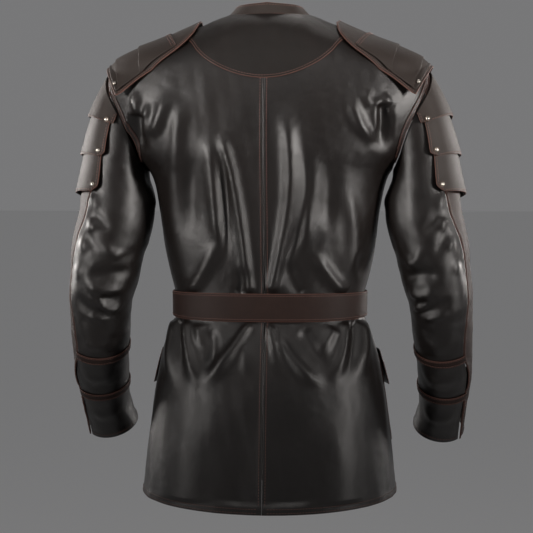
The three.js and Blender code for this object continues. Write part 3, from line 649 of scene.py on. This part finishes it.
def shoulder_surface(side):
    def surface(across, along):
        ridge = {name: smooth(SHOULDER, name, along) for name in ("x", "z", "half", "drop", "lean")}
        fall = ridge["drop"] * np.abs(across) ** PAD.roundness
        x, y = ridge["x"] - ridge["lean"] * fall, across * ridge["half"]
        return vector(side * x, y, np.maximum(ridge["z"] - fall, shoulder_height(x, y) + PAD.rest))

    return surface


def on_shoulder(side, across, along):
    surface = shoulder_surface(side)
    a = surface(across + 0.02, along) - surface(across - 0.02, along)
    b = surface(across, np.minimum(along + 0.01, 1)) - surface(across, np.maximum(along - 0.01, 0))
    n = unit(np.cross(a, b))
    return surface(across, along), n * np.where(n[..., 2:] < 0, -1, 1)


def plate_at(side, plate, s, t):
    return plate_point(side, plate, SHOULDER_PLATE.reach * (2 * s - 1), t)


def plate_point(side, plate, across, t):
    p, n = on_shoulder(side, across, lerp(plate.start, plate.end, t))
    return p + n * (SHOULDER_PLATE.gap + plate.lift * t**1.5)[..., None], n


# ---- the belt ----
def belt_edge(around, level):
    side = np.where(around < 180, 1, -1)
    angle = np.where(around < 180, around - 90, 270 - around)
    x = smooth(BODY, "width", float(BELT.top)) * cosd(angle)
    lap = np.where(angle < 0, lap_rise(x), 0)
    down = (BELT.top - level) / (BELT.top - BELT.bottom)
    level = level + down * BELT.taper * cosd(angle) ** 4
    p, n = on_body(side, angle, level, relief=False)
    return p + n * (BELT.clearance + lap)[..., None], n


def belt_point(around, up):
    turned = np.where(around > 360, around - 360, around)
    over = (BELT.thickness + 2 * SEAM) * ease(353, 366, around)
    low, low_n = belt_edge(turned, BELT.bottom)
    high, high_n = belt_edge(turned, BELT.top)
    low, high = low + low_n * over[..., None], high + high_n * over[..., None]
    up = up[..., None]
    return lerp(low, high, up), unit(lerp(low_n, high_n, up))


# ---- meshes ----
def spaced(length, step, rim=(0, 0.35, 0.9, 1.7, 3.0)):
    """Shares from 0 to 1 about `step` apart along `length`, closer together at both ends."""
    rim = np.array(rim)
    count = max(1, round((length - 2 * rim[-1]) / step))
    inner = np.linspace(rim[-1], length - rim[-1], count + 1)[1:-1]
    return np.concatenate([rim, inner, (length - rim)[::-1]]) / length


def arc_length(points, axis):
    steps = np.linalg.norm(np.diff(points, axis=axis), axis=-1)
    start = np.zeros_like(np.take(steps, [0], axis=axis))
    return np.cumsum(np.concatenate([start, steps], axis=axis), axis=axis)


class Sheet:
    """A leather sheet on a grid: the points and normals of the form that it lies on, `top` the height of
    its outer face over them, its wall, and how far each point is from each of its four edges."""

    def __init__(self, place, s, t, top, wall):
        self.s, self.t = np.meshgrid(s, t, indexing="ij")
        self.points, self.normals = place(self.s, self.t)
        self.top, self.wall = top, wall
        along, up = arc_length(self.points, 0), arc_length(self.points, 1)
        self.edges = dict(start=along, end=along[-1:] - along, bottom=up, top=up[:, -1:] - up)

    def outer(self, raised=0.0):
        height = np.broadcast_to(self.top + raised, self.points.shape[:-1])
        return self.points + self.normals * height[..., None]

    def distance(self, names):
        return np.minimum.reduce([self.edges[name] for name in names])

    def inset(self, edge, distance, start, end, out):
        """The points and normals of the line `distance` inside an edge, cut off near its two ends."""
        parts = [self.edges[edge], self.outer(out), self.normals]
        if edge in ("bottom", "top"):
            parts = [part.swapaxes(0, 1) for part in parts]
        if edge in ("end", "top"):
            parts = [part[::-1] for part in parts]
        away, points, normals = parts

        def at_distance(values):
            columns = zip(away.T, values.swapaxes(0, 1))
            return np.array([[np.interp(distance, far, p[:, k]) for k in range(3)] for far, p in columns])

        line, line_n = at_distance(points), unit(at_distance(normals))
        travelled = arc_length(line, 0)
        kept = (travelled >= start) & (travelled <= travelled[-1] - end)
        return line[kept], line_n[kept]


# What each piece is cut to, before it is worn: width and length in millimetres, the share of that
# rectangle that the cut fills, and how it is held.
CUTS = {piece: cut for piece, *cut in (line.split() for line in """
back 320 850 0.78 hung
front 325 860 0.78 hung
armhole_band 10 192 0.78 laid
sleeve 360 600 0.62 hung
sleeve_strip 165 650 0.55 hung
cuff_strap_upper 240 12.5 1 stretched
cuff_strap_lower 228 12.5 1 stretched
arm_flap_1 212 81 0.7 hung
arm_flap_2 193 82 0.9 hung
arm_flap_3 178 83 0.91 hung
shoulder_base 237 200 0.74 laid
shoulder_plate_1 195 73 0.86 laid
shoulder_plate_2 200 62 0.89 laid
shoulder_plate_3 193 24 0.86 laid
pocket 108 150 0.91 laid
pocket_flap 118 63 0.92 hung
yoke 472 129 0.59 laid
collar 448 22 0.78 hung
belt 909 43 0.98 stretched
""".strip().splitlines())}


def ring_faces(rings, around, closed=False):
    """Quads between rings of points. When `closed`, the last ring joins the first."""
    ring, k = np.meshgrid(np.arange(rings if closed else rings - 1), np.arange(around), indexing="ij")
    here, above, after = ring * around, (ring + 1) % rings * around, (k + 1) % around
    return np.stack([here + k, here + after, above + after, above + k], -1).reshape(-1, 4)


def new_mesh(name, points, faces, material):
    """An object from points in millimetres and faces of four corners, facing outwards."""
    a, b, c, d = (points[faces[:, k]] for k in range(4))
    volume = (np.einsum("ij,ij->i", a, np.cross(b, c)) + np.einsum("ij,ij->i", a, np.cross(c, d))).sum()
    if volume < 0:
        faces = faces[:, ::-1]
    mesh = bpy.data.meshes.new(name)
    mesh.from_pydata((points / 1000).tolist(), [], faces.tolist())
    mesh.polygons.foreach_set("use_smooth", [True] * len(mesh.polygons))
    mesh.update()
    mesh.materials.append(material)
    obj = bpy.data.objects.new(name, mesh)
    bpy.context.scene.collection.objects.link(obj)
    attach(obj, "root")
    return obj


def paint(obj, name, values):
    attribute = obj.data.attributes.new(name, "FLOAT", "POINT")
    attribute.data.foreach_set("value", np.asarray(values, np.float32))


# ---- materials ----
def colour(code):
    """A linear colour from its hexadecimal code."""
    parts = [int(code[i : i + 2], 16) / 255 for i in (1, 3, 5)]
    return [*(p / 12.92 if p < 0.04045 else ((p + 0.055) / 1.055) ** 2.4 for p in parts), 1]


class Nodes:
    """A short way to build a node tree: calls make nodes and link their inputs."""

    def __init__(self, name):
        self.material = bpy.data.materials.new(name)
        self.material.use_nodes = True
        self.tree = self.material.node_tree
        self.shader = self.tree.nodes["Principled BSDF"]
        self.object = self.add("ShaderNodeTexCoord").outputs["Object"]

    def add(self, kind, inputs=None, **settings):
        node = self.tree.nodes.new(kind)
        for key, value in settings.items():
            setattr(node, key, value)
        for key, value in (inputs or {}).items():
            self.put(node.inputs[key], value)
        return node

    def put(self, socket, value):
        if isinstance(value, bpy.types.NodeSocket):
            self.tree.links.new(value, socket)
        else:
            socket.default_value = value

    def stretched(self, scale):
        return self.add("ShaderNodeMapping", {"Vector": self.object, "Scale": scale}).outputs["Vector"]

    def noise(self, scale, detail=3.0, rough=0.55, stretch=(1, 1, 1)):
        inputs = {"Vector": self.stretched(stretch), "Scale": scale, "Detail": detail, "Roughness": rough}
        return self.add("ShaderNodeTexNoise", inputs).outputs["Fac"]

    def cells(self, scale, stretch):
        inputs = {"Vector": self.stretched(stretch), "Scale": scale}
        return self.add("ShaderNodeTexVoronoi", inputs, feature="DISTANCE_TO_EDGE").outputs["Distance"]

    def span(self, *values):
        """Maps a value from one span onto another: the value, then both ends of either span."""
        inputs = zip(("Value", "From Min", "From Max", "To Min", "To Max"), values)
        return self.add("ShaderNodeMapRange", dict(inputs)).outputs["Result"]

    def math(self, operation, a, b):
        node = self.add("ShaderNodeMath", operation=operation)
        self.put(node.inputs[0], a)
        self.put(node.inputs[1], b)
        return node.outputs[0]

    def mix(self, factor, a, b):
        node = self.add("ShaderNodeMix", data_type="RGBA")
        self.put(node.inputs["Factor"], factor)
        self.put(node.inputs["A"], a)
        self.put(node.inputs["B"], b)
        return node.outputs["Result"]

    def attribute(self, name):
        return self.add("ShaderNodeAttribute", attribute_name=name).outputs["Fac"]

    def bump(self, height, strength, distance, after=None):
        inputs = {"Height": height, "Strength": strength, "Distance": distance}
        if after is not None:
            inputs["Normal"] = after
        return self.add("ShaderNodeBump", inputs).outputs["Normal"]

    def finish(self, base, rough, more):
        """Fills in the shader's inputs and gives the material."""
        for key, value in {"Base Color": base, "Roughness": rough, **more}.items():
            self.put(self.shader.inputs[key], value)
        return self.material


def leather(name, dark, light, edge, rough, specular, rim, grain):
    """Leather that varies from dark to light, with an edge `rim` millimetres wide in its own colour."""
    n = Nodes(name)
    mottle = n.span(n.noise(9, 5, 0.6), 0.32, 0.7, 0, 1)
    fine = n.span(n.noise(160, 3, 0.6), 0.35, 0.7, 0, 1)
    tone = n.math("ADD", n.math("MULTIPLY", mottle, 0.75), n.math("MULTIPLY", fine, 0.25))
    base = n.mix(tone, colour(dark), colour(light))
    ragged = n.math("ADD", n.attribute("rim"), n.span(n.noise(420, 2), 0.3, 0.7, -0.35, 0.35))
    at_edge = n.span(ragged, rim - 0.4, rim + 0.4, 1, 0)
    base = n.mix(at_edge, base, colour(edge))
    patches = n.span(n.noise(22, 3, 0.5), 0.3, 0.7, -0.012, 0.015)
    shine = n.math("ADD", patches, n.span(fine, 0, 1, -0.01, 0.015))
    pebbles = n.span(n.cells(520, (1, 1, 1.6)), 0, 0.14, 0, 1)
    wrinkles = n.noise(330, 3, 0.6, (1, 1, 0.55))
    surface = n.bump(wrinkles, 0.55 * grain, 0.0007)
    surface = n.bump(pebbles, 0.6 * grain, 0.0004, surface)
    return n.finish(base, n.math("ADD", shine, rough), {"Specular IOR Level": specular, "Normal": surface})


def metal(name, code, rough):
    n = Nodes(name)
    stain = n.span(n.noise(500, 3, 0.6), 0.4, 0.75, 0, 0.6)
    base = n.mix(stain, colour(code), (0.05, 0.04, 0.033, 1))
    worn = n.span(n.noise(900, 2), 0.3, 0.7, rough - 0.06, rough + 0.14)
    return n.finish(base, worn, {"Metallic": 1.0, "Normal": n.bump(n.noise(1400, 2), 0.25, 0.0002)})


def thread(name, code):
    n = Nodes(name)
    twist = n.noise(1800, 1, 0.5)
    return n.finish(n.mix(twist, colour(code), colour("#3f2a25")), 0.6, {"Normal": n.bump(twist, 0.4, 0.0002)})


def plain(name, code, rough):
    n = Nodes(name)
    speck = n.span(n.noise(240, 3, 0.6), 0.3, 0.7, 0, 1)
    base = [c * 0.72 for c in colour(code)[:3]] + [1]
    return n.finish(n.mix(speck, base, colour(code)), rough, {"Normal": n.bump(speck, 0.3, 0.0006)})


# Dark, light and edge colour, roughness, specular, width of the edge and grain.
LOOKS = dict(
    body=("#0b0807", "#130e0c", "#38241f", 0.38, 0.42, 0.9, 0.42),
    panel=("#241e1b", "#2c2623", "#4a322b", 0.56, 0.2, 1.1, 0.5),
    yoke=("#110e0c", "#191412", "#4a322b", 0.5, 0.22, 1.1, 0.6),
    strap=("#1d1310", "#281b17", "#4d342d", 0.56, 0.16, 0.9, 0.5),
)
LEATHERS = {name: leather(f"{name}_leather", *look) for name, look in LOOKS.items()}
SUEDE = plain("suede_inside", "#2c2421", 0.9)
THREAD = thread("waxed_thread", "#6b453a")
NICKEL = metal("aged_nickel", "#b9b2aa", 0.26)
DARK_METAL = metal("buckle_metal", "#8f8880", 0.3)
# Metal of the rings at the foot of the rivets and studs. It is dark as painted shade of the recess round each
# head.
DARK_RING_PAINTED_SHADE = metal("ring_metal_painted_shade", "#3a342f", 0.45)


# ---- the leather pieces ----
PANEL_SPANS = [(7, 9, 43), (9, 15, 199), (15, 23, 215), (23, 25, 60), (25, 30, 110)]


def panel_rows():
    """Rows of a body panel, about 3.8 mm apart and closer at the hem. Each span has its length in mm."""
    rows = [0, *np.array([0.35, 0.9, 1.7]) / 40, *np.linspace(0.08, 7, 75)]
    for first, last, length in PANEL_SPANS:
        rows.extend(np.linspace(first, last, round(length / 3.8) + 1)[1:])
    return np.array([*rows[:-1], *(30 - np.array([0.12, 0.05, 0.02, 0]))])


def seam_ridges(height, **widths):
    """Raises the leather that is folded in at edges, by the width of the fold at each edge."""

    def raised(sheet):
        folds = [ease(width + 0.9, width - 0.9, sheet.edges[edge]) for edge, width in widths.items()]
        return height * np.maximum.reduce(folds)

    return raised


def leather_piece(node, rests_on, place, s, t, top, wall, look, rims, raised=None, lined=False, sharp=""):
    """Makes the closed shell of a leather sheet, with rounded edges, in place of its CAD node.

    Edges in `rims` get the leather's edge colour and the edge `sharp` half the rounding. `raised` gives
    the height by which seams stand out.
    """
    sheets[node] = sheet = Sheet(place, s, t, top, wall)
    n, m = sheet.s.shape
    rounding = 0
    for edge, away in sheet.edges.items():
        r = sheet.wall / 2 * (0.5 if edge == sharp else 1)
        rounding = np.maximum(rounding, r - np.sqrt(np.maximum(0, r * r - np.maximum(0, r - away) ** 2)))
    nearest = sheet.distance(tuple(sheet.edges))
    lift = 0 if raised is None else raised(sheet) * ease(0, 1.2, nearest)
    outer = sheet.outer(lift - rounding)
    inner = sheet.points + sheet.normals * (sheet.top - sheet.wall + rounding)[..., None]
    points = np.concatenate([inner.reshape(-1, 3), outer.reshape(-1, 3)])
    index = np.arange(n * m).reshape(n, m)
    a, b, c, d = index[:-1, :-1], index[1:, :-1], index[1:, 1:], index[:-1, 1:]
    inside = np.stack([a, d, c, b], -1).reshape(-1, 4)
    outside = np.stack([a, b, c, d], -1).reshape(-1, 4) + n * m
    rim = np.concatenate([index[:, 0], index[-1, 1:], index[-2::-1, -1], index[0, -2::-1]])
    rim, following = rim[:-1], rim[1:]
    sides = np.stack([rim, following, following + n * m, rim + n * m], -1)
    obj = new_mesh(f"leather_{node}", points, np.concatenate([inside, outside, sides]), LEATHERS[look])
    if lined:
        obj.data.materials.append(SUEDE)
        lining = np.repeat([1, 0], [len(inside), len(outside) + len(sides)])
        obj.data.polygons.foreach_set("material_index", lining)
    paint(obj, "rim", np.tile(sheet.distance(rims.split()).ravel(), 2))
    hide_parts(node)
    *sizes, held = CUTS[node.removesuffix("_left").removesuffix("_right")]
    width, length, share = map(float, sizes)


def sided_pieces(name, side):
    """The leather pieces of one side. A * in their names stands for the side."""

    def add(node, rests_on, place, *layout, which=(), **more):
        node, rests_on = node.replace("*", name), rests_on.replace("*", name)
        leather_piece(node, rests_on, lambda s, t: place(side, *which, s, t), *layout, **more)

    rows = panel_rows()
    add("back_*", "yoke", back_point, spaced(290, 3.8), rows, 0, WALL, "body", "bottom",
        lined=True, raised=seam_ridges(0.7, start=6, bottom=11), sharp="start")
    add("front_*", "back_*", front_point, spaced(300, 4.2), rows, 0, WALL, "body", "bottom end",
        lined=True, raised=seam_ridges(0.7, end=9, bottom=11))
    add("armhole_band_*", "back_*", band_point, spaced(ARMHOLE.band, 1.6, (0, 0.35, 0.9)), spaced(190, 4),
        ARMHOLE.gap + TRIM - 0.8, TRIM, "body", "start end")

    cap = np.concatenate([[-1, -0.998, -0.994], np.linspace(-1, 0, 46)[1:-1]])
    arm = np.concatenate([np.linspace(0, CUFF - 3, 112), CUFF - np.array([1.7, 0.9, 0.35, 0])])
    down = np.concatenate([cap, arm])
    folds = seam_ridges(0.6, start=4, end=4, top=8)
    add("sleeve_*", "back_* front_*", sleeve_point, spaced(290, 3.6), down, 0, WALL, "body", "top",
        lined=True, raised=folds)
    add("sleeve_strip_*", "sleeve_*", strip_point, spaced(80, 3.6), down, 0, WALL, "strap", "start end top",
        lined=True, raised=folds)
    for strap, middle in STRAPS.items():
        add(f"cuff_strap_{strap}_*", "sleeve_*", strap_point, spaced(235, 4), spaced(STRAP_WIDTH, 1.8),
            STRAP_GAP + TRIM, TRIM, "strap", "bottom top", which=[middle])

    for i, flap in enumerate(FLAPS, 1):
        add(f"arm_flap_{i}_*", "sleeve_*", flap_point, spaced(180, 3.6), spaced(80, 3.2), PLATE, PLATE,
            "panel", "start end bottom", which=[flap])
    add("shoulder_base_*", "back_* front_*", lambda side, s, t: on_shoulder(side, 2 * s - 1, t),
        spaced(240, 4), spaced(180, 4), 0, PLATE, "panel", "start end bottom top")
    wall = SHOULDER_PLATE.wall
    for i, plate in enumerate(PLATES, 1):
        add(f"shoulder_plate_{i}_*", "shoulder_base_*", plate_at, spaced(200, 4), spaced(50, 3.4), wall, wall,
            "panel", "bottom", which=[plate])

    over = POCKET.gap + TRIM
    add("pocket_*", "front_*", pocket_point, spaced(108, 4), spaced(150, 4), over, TRIM,
        "body", "start end bottom")
    add("pocket_flap_*", "pocket_*", pocket_flap_point, spaced(118, 4), spaced(62, 3.4),
        over + POCKET_FLAP.gap + TRIM, TRIM, "body", "start end bottom")


def middle_pieces():
    half = spaced(190, 3.2, (0, 3.0))
    across = np.concatenate([-half[::-1], half[1:]])
    rows = np.concatenate([[25, 25.025, 25.065, 25.12], np.linspace(25.2, 29.9, 34), [29.95, 29.98, 30]])
    backs = "back_left back_right"
    leather_piece("yoke", backs, yoke_point, across, rows, SEAM + TRIM, TRIM, "yoke", "bottom")
    leather_piece("collar", "yoke", collar_point, spaced(440, 3.6), spaced(20, 2.2), 0, COLLAR.wall,
                  "panel", "top bottom")
    leather_piece("belt", backs + " front_left front_right", belt_point,
                  lerp(BELT.start, BELT.end, spaced(905, 3.8)), spaced(43, 3),
                  BELT.thickness, BELT.thickness, "strap", "top bottom end")


sheets = {}
for name, side in SIDES.items():
    sided_pieces(name, side)
middle_pieces()


# ---- sewing ----
STITCH = Sizes(pitch=4.6, length=3.0, width=0.95, height=0.75)
TACK = Sizes(pitch=6, length=6, width=1.8, height=1.2, rows=(336, 345), first=11, last=4, lift=1.6)


def along(line, line_n, pitch):
    """Points, directions and normals a pitch apart along a line."""
    travelled = arc_length(line, 0)
    count = max(2, int(travelled[-1] / pitch))
    at = (np.arange(count) + 0.5) * travelled[-1] / count

    def pick(values, where):
        return np.stack([np.interp(where, travelled, values[:, k]) for k in range(3)], -1)

    direction = unit(pick(line, at + 0.5) - pick(line, at - 0.5))
    n = pick(line_n, at)
    return pick(line, at), direction, unit(n - direction * (n * direction).sum(-1, keepdims=True))


def dashes(name, lines, size=STITCH):
    """Joins a rounded stitch at every pitch of every line."""
    around, rings, swell = 6, np.array([-0.5, -0.3, 0.3, 0.5]), np.array([0.35, 1, 1, 0.35])
    angle = np.arange(around) * 2 * math.pi / around
    shape = np.stack([
        np.repeat(rings * size.length, around),
        np.outer(swell, np.cos(angle)).ravel() * size.width / 2,
        np.outer(swell, np.sin(angle)).ravel() * size.height / 2,
    ], -1)
    far = (len(rings) - 1) * around
    ends = [(3, 2, 1, 0), (5, 4, 3, 0), (far, far + 1, far + 2, far + 3), (far, far + 3, far + 4, far + 5)]
    quads = np.concatenate([ring_faces(len(rings), around), ends])
    parts = [along(*line, size.pitch) for line in lines if len(line[0]) > 2]
    centre, direction, n = (np.concatenate([part[k] for part in parts]) for k in range(3))
    frames = np.stack([direction, np.cross(n, direction), n], -2)
    points = centre[:, None] + np.einsum("vk,skc->svc", shape, frames)
    faces = quads[None] + (np.arange(len(centre)) * len(shape))[:, None, None]
    obj = new_mesh(name, points.reshape(-1, 3), faces.reshape(-1, 4), THREAD)


# The seams of each thread, in the order of making: the sheet that they sew, then for each seam the edge
# that it follows, how far inside that edge it lies, and how much is left out at its start and end.
SEAMS = """
body back start 5 12 0 bottom 3.4 6 0 bottom 9.5 6 0
body front bottom 3.4 0 0 bottom 9.5 0 0 end 3.4 4 2 end 8.4 9 2
armhole armhole_band start 2 2 2 end 2 2 2
sleeve sleeve top 6.5 4 4
sleeve sleeve_strip top 6.5 4 4 start 3.6 40 4 end 3.6 40 4
"""
PLATE_SEAMS = """
straps cuff_strap_upper bottom 2.4 3 3 top 2.4 3 3
straps cuff_strap_lower bottom 2.4 3 3 top 2.4 3 3
arm_flap_1 arm_flap_1 bottom 4.2 5 5 start 4.2 5 3 end 4.2 5 3
shoulder_plate_1 shoulder_plate_1 bottom 3 2 2 bottom 7 2 2
arm_flap_2 arm_flap_2 bottom 4.2 5 5 start 4.2 5 3 end 4.2 5 3
shoulder_plate_2 shoulder_plate_2 bottom 3 2 2
arm_flap_3 arm_flap_3 bottom 4.2 5 5 start 4.2 5 3 end 4.2 5 3
shoulder_plate_3 shoulder_plate_3 bottom 3 2 2
shoulder_base shoulder_base start 4.2 3 4.5 end 4.2 3 4.5 top 4.2 4.5 4.5 bottom 3.5 3 3
pocket pocket bottom 3 3 3 start 3 3 3 end 3 3 3
pocket pocket_flap bottom 3 3 3 start 3 3 3 end 3 3 3
"""
MIDDLE_SEAMS = """
yoke yoke bottom 4.2 3 3
collar collar top 3.6 2 2
belt belt top 3.6 2 4 bottom 3.6 2 4 end 3.6 4 4
"""
# Height of the thread over the leather, more where a seam makes the leather stand out.
THREAD_LIFT = dict(back=0.75, front=0.75, sleeve=0.65, sleeve_strip=0.65)


def sew(seams, ending=""):
    threads = {}
    for line in seams.strip().splitlines():
        thread_name, piece, *rows = line.split()
        for k in range(0, len(rows), 4):
            inside, start, end = map(float, rows[k + 1 : k + 4])
            seam = sheets[piece + ending].inset(rows[k], inside, start, end, THREAD_LIFT.get(piece, 0.15))
            threads.setdefault(thread_name, []).append(seam)
    for thread_name, lines in threads.items():
        dashes(f"thread_{thread_name}{ending}", lines)


def bar_tacks(name, side):
    """Two rows of thick stitches on both edges of the outer strip, just below the lower cuff strap."""
    lines = []
    for down in TACK.rows:
        turn = strip_angle(down) - np.linspace(TACK.first, TACK.last, 5)
        for way in (1, -1):
            p, n = on_sleeve(side, way * turn, down)
            lines.append((p + n * TACK.lift, n))
    dashes(f"bar_tacks_{name}", lines, TACK)


for name, side in SIDES.items():
    sew(SEAMS, f"_{name}")
    bar_tacks(name, side)
    sew(PLATE_SEAMS, f"_{name}")
sew(MIDDLE_SEAMS)


# ---- rivets, studs and the buckle ----
def turned(name, profile, seats, material, nodes=()):
    """Turns a profile of (radius, height) round its axis and copies it onto each seat as one piece.

    A seat is a point and the direction that the shape stands in.
    """
    around = 20
    angle = np.arange(around) * 2 * math.pi / around
    radius, height = np.array(profile).T
    x, y = np.outer(radius, np.cos(angle)), np.outer(radius, np.sin(angle))
    points, faces = vector(x, y, height[:, None]).reshape(-1, 3), ring_faces(len(profile), around)
    all_points, all_faces = [], []
    for k, (seat, up) in enumerate(seats):
        side = unit(np.cross(up, (0.0, 0.31, 0.95)))
        frame_axes = np.stack([side, np.cross(up, side), up])
        all_points.append(seat + points @ frame_axes)
        all_faces.append(faces + k * len(points))
    obj = new_mesh(name, np.concatenate(all_points), np.concatenate(all_faces), material)
    if nodes:
        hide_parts(*nodes)


def dome_profile(radius, height):
    bend = np.linspace(0, 90, 9)
    dome = [(radius * cosd(a), height * 0.15 + height * 0.85 * sind(a)) for a in bend[:-1]]
    return [(0.01, 0), (radius, 0), *dome, (0.02, height)]


seats, nodes = [], []
for name, side in SIDES.items():
    for edge_name, edge in dict(front=-1, back=1).items():
        for i, flap in enumerate(FLAPS, 1):
            p, n = flap_point(side, flap, np.array([0.5 + edge * RIVET.across]), np.array([RIVET.up]))
            seats.append((p[0] + n[0] * (PLATE + RIVET.gap), n[0]))
            nodes.append(f"arm_rivet_{i}_{edge_name}_{name}")
        p, n = plate_point(side, PLATES[-1], np.array([edge * RIVET.shoulder]), np.array([RIVET.shoulder_up]))
        seats.append((p[0] + n[0] * (SHOULDER_PLATE.wall + RIVET.gap), n[0]))
        nodes.append(f"shoulder_rivet_{edge_name}_{name}")
turned("rivets", dome_profile(RIVET.dome, RIVET.height), seats, NICKEL, nodes)
# Each rivet sits in a metal ring. The ring's dark colour is painted shade of the recess round the dome.
ring = [(0.01, -0.3), (5.2, -0.3), (5.2, 0.25), (4.7, 0.5), (3.6, 0.45), (3.3, 0.1), (0.01, 0.1)]
turned("rivet_rings", ring, seats, DARK_RING_PAINTED_SHADE)

seats = []
for level in STUD.levels:
    p, n = on_body(np.array([1]), np.array([-90.0]), np.array([float(level)]))
    seats.append((p[0] + n[0] * (LAP.rise + STUD.gap), n[0]))
nodes = [f"press_stud_{i}" for i in range(1, len(seats) + 1)]
turned("press_studs", dome_profile(STUD.dome, STUD.height), seats, NICKEL, nodes)
# Each stud sits in a metal ring. The ring's dark colour is painted shade of the recess round the dome.
ring = [(0.01, -0.2), (7.2, -0.2), (7.2, 0.3), (6.6, 0.6), (5.4, 0.4), (0.01, 0.2)]
turned("press_stud_rings", ring, seats, DARK_RING_PAINTED_SHADE)


def bar(name, path, across, size, closed):
    """A rounded bar on the belt, seen from its front along a path in the plane x, z.

    `across` is its half width at each point, and `size` has its thickness, how far out it stands and its
    tilt, with the CAD node's name.
    """
    around = 12
    angle = np.arange(around) * 2 * math.pi / around
    ahead = np.roll(path, -1, 0) if closed else np.concatenate([path[1:], path[-1:]])
    behind = np.roll(path, 1, 0) if closed else np.concatenate([path[:1], path[:-1]])
    tangent = unit(ahead - behind)
    out = np.stack([tangent[:, 1], -tangent[:, 0]], -1)
    flat = path[:, None] + out[:, None] * (np.cos(angle) * across[:, None])[..., None]
    depth = np.broadcast_to(np.sin(angle) * size.thickness / 2, flat.shape[:2])
    points = vector(flat[..., 0], depth, flat[..., 1]).reshape(-1, 3)
    faces = ring_faces(len(path), around, closed)
    if not closed:
        for first in (0, (len(path) - 1) * around):
            cap = [(first, first + k, first + k + 1, first + k + 2) for k in range(1, around - 2, 2)]
            faces = np.concatenate([faces, cap])
    c, s = cosd(size.tilt), sind(size.tilt)
    seat, seat_n = belt_point(np.array([0.0]), np.array([0.5]))
    points = points @ np.array([[c, s, 0], [-s, c, 0], [0, 0, 1]]) + seat[0] + seat_n[0] * size.out
    obj = new_mesh(name, points, faces, DARK_METAL)
    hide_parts(size.node)


def arc(x, z, r, start):
    angle = np.linspace(start, start + 90, 8)
    return np.stack([x + r * cosd(angle), z + r * sind(angle)], -1)


corner = BUCKLE.corner - BUCKLE.bar / 2
middle_x, middle_z = ((full - BUCKLE.bar) / 2 - corner for full in (BUCKLE.long, BUCKLE.high))
loop = np.concatenate([
    arc(x * middle_x, z * middle_z, corner, start)
    for x, z, start in ((1, 1, 0), (-1, 1, 90), (-1, -1, 180), (1, -1, 270))
])
bar("buckle", loop, np.full(len(loop), BUCKLE.bar / 2), BUCKLE, closed=True)
tip = np.linspace(PRONG.root, PRONG.tip, 14)
across = np.linspace(PRONG.width / 2, PRONG.width / 3, 14)
bar("prong", np.stack([tip, np.zeros(14)], -1), across, PRONG, closed=False)


# ---- stage, lights and camera ----
FLOOR = Sizes(level=-1.5, half=60)  # metres, as is all that follows
floor_mesh = bpy.data.meshes.new("floor")
corners = [(x * FLOOR.half, y * FLOOR.half, FLOOR.level) for x, y in ((-1, -1), (1, -1), (1, 1), (-1, 1))]
floor_mesh.from_pydata(corners, [], [(0, 1, 2, 3)])
floor = bpy.data.objects.new("floor", floor_mesh)
bpy.context.scene.collection.objects.link(floor)
floor_mesh.materials.append(Nodes("pale_floor").finish((0.9, 0.9, 0.9, 1), 1, {"Specular IOR Level": 0}))
floor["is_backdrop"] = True

world = bpy.data.worlds.new("studio")
world.use_nodes = True
world.node_tree.nodes["Background"].inputs["Color"].default_value = (0.62, 0.62, 0.63, 1)
world.node_tree.nodes["Background"].inputs["Strength"].default_value = 0.3
bpy.context.scene.world = world


def softbox(name, azimuth, elevation, size, power, spread, level):
    """An area light that looks at the coat at a `level`. Azimuth 0 is in front of it and 180 behind."""
    light = bpy.data.lights.new(name, "AREA")
    light.shape = "RECTANGLE"
    light.size, light.size_y = size
    light.energy = power
    light.spread = math.radians(spread)
    light.color = (1, 0.955, 0.92)
    obj = bpy.data.objects.new(name, light)
    bpy.context.scene.collection.objects.link(obj)
    look_at(obj, azimuth, elevation, LIGHT_DISTANCE, (0, 0, level))


def look_at(obj, azimuth, elevation, distance, target):
    a, e = math.radians(azimuth), math.radians(elevation)
    away = np.array([math.sin(a) * math.cos(e), -math.cos(a) * math.cos(e), math.sin(e)])
    right = np.array([math.cos(a), math.sin(a), 0])
    up = np.cross(away, right)
    x, y, z = (np.array(target) + away * distance).tolist()
    axes = np.stack([right, up, away], -1).tolist()
    obj.matrix_world = Matrix([[*axes[0], x], [*axes[1], y], [*axes[2], z], [0, 0, 0, 1]])


LIGHT_DISTANCE = 3.4
MIDDLE = -0.408  # height of the coat's middle
for turn, place in ((0, "back"), (180, "front")):
    softbox(f"{place}_left", turn + 128, 4, size=(0.6, 0.8), power=2.9, spread=21, level=-0.04)
    softbox(f"{place}_right", turn + 240, 4, size=(0.6, 0.8), power=3.5, spread=21, level=-0.04)
    softbox(f"{place}_top", turn + 178, 55, size=(0.6, 0.4), power=4, spread=80, level=MIDDLE)

CAMERA = Sizes(sensor=36, distance=2.8, frame_width=0.8795, azimuth=185, elevation=3, aside=0.0058)
camera_data = bpy.data.cameras.new("camera")
camera_data.sensor_width = CAMERA.sensor
camera_data.lens = CAMERA.sensor * CAMERA.distance / CAMERA.frame_width
camera = bpy.data.objects.new("camera", camera_data)
bpy.context.scene.collection.objects.link(camera)
look_at(camera, CAMERA.azimuth, CAMERA.elevation, CAMERA.distance, (CAMERA.aside, 0, MIDDLE))
bpy.context.scene.camera = camera
bpy.context.scene.view_settings.view_transform = "Standard"

bpy.context.view_layer.update()
boxes = dict(cad=[list(map(float, corner)) for corner in cad_bounds])
boxes["visual"] = [list(map(float, corner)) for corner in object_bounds()]
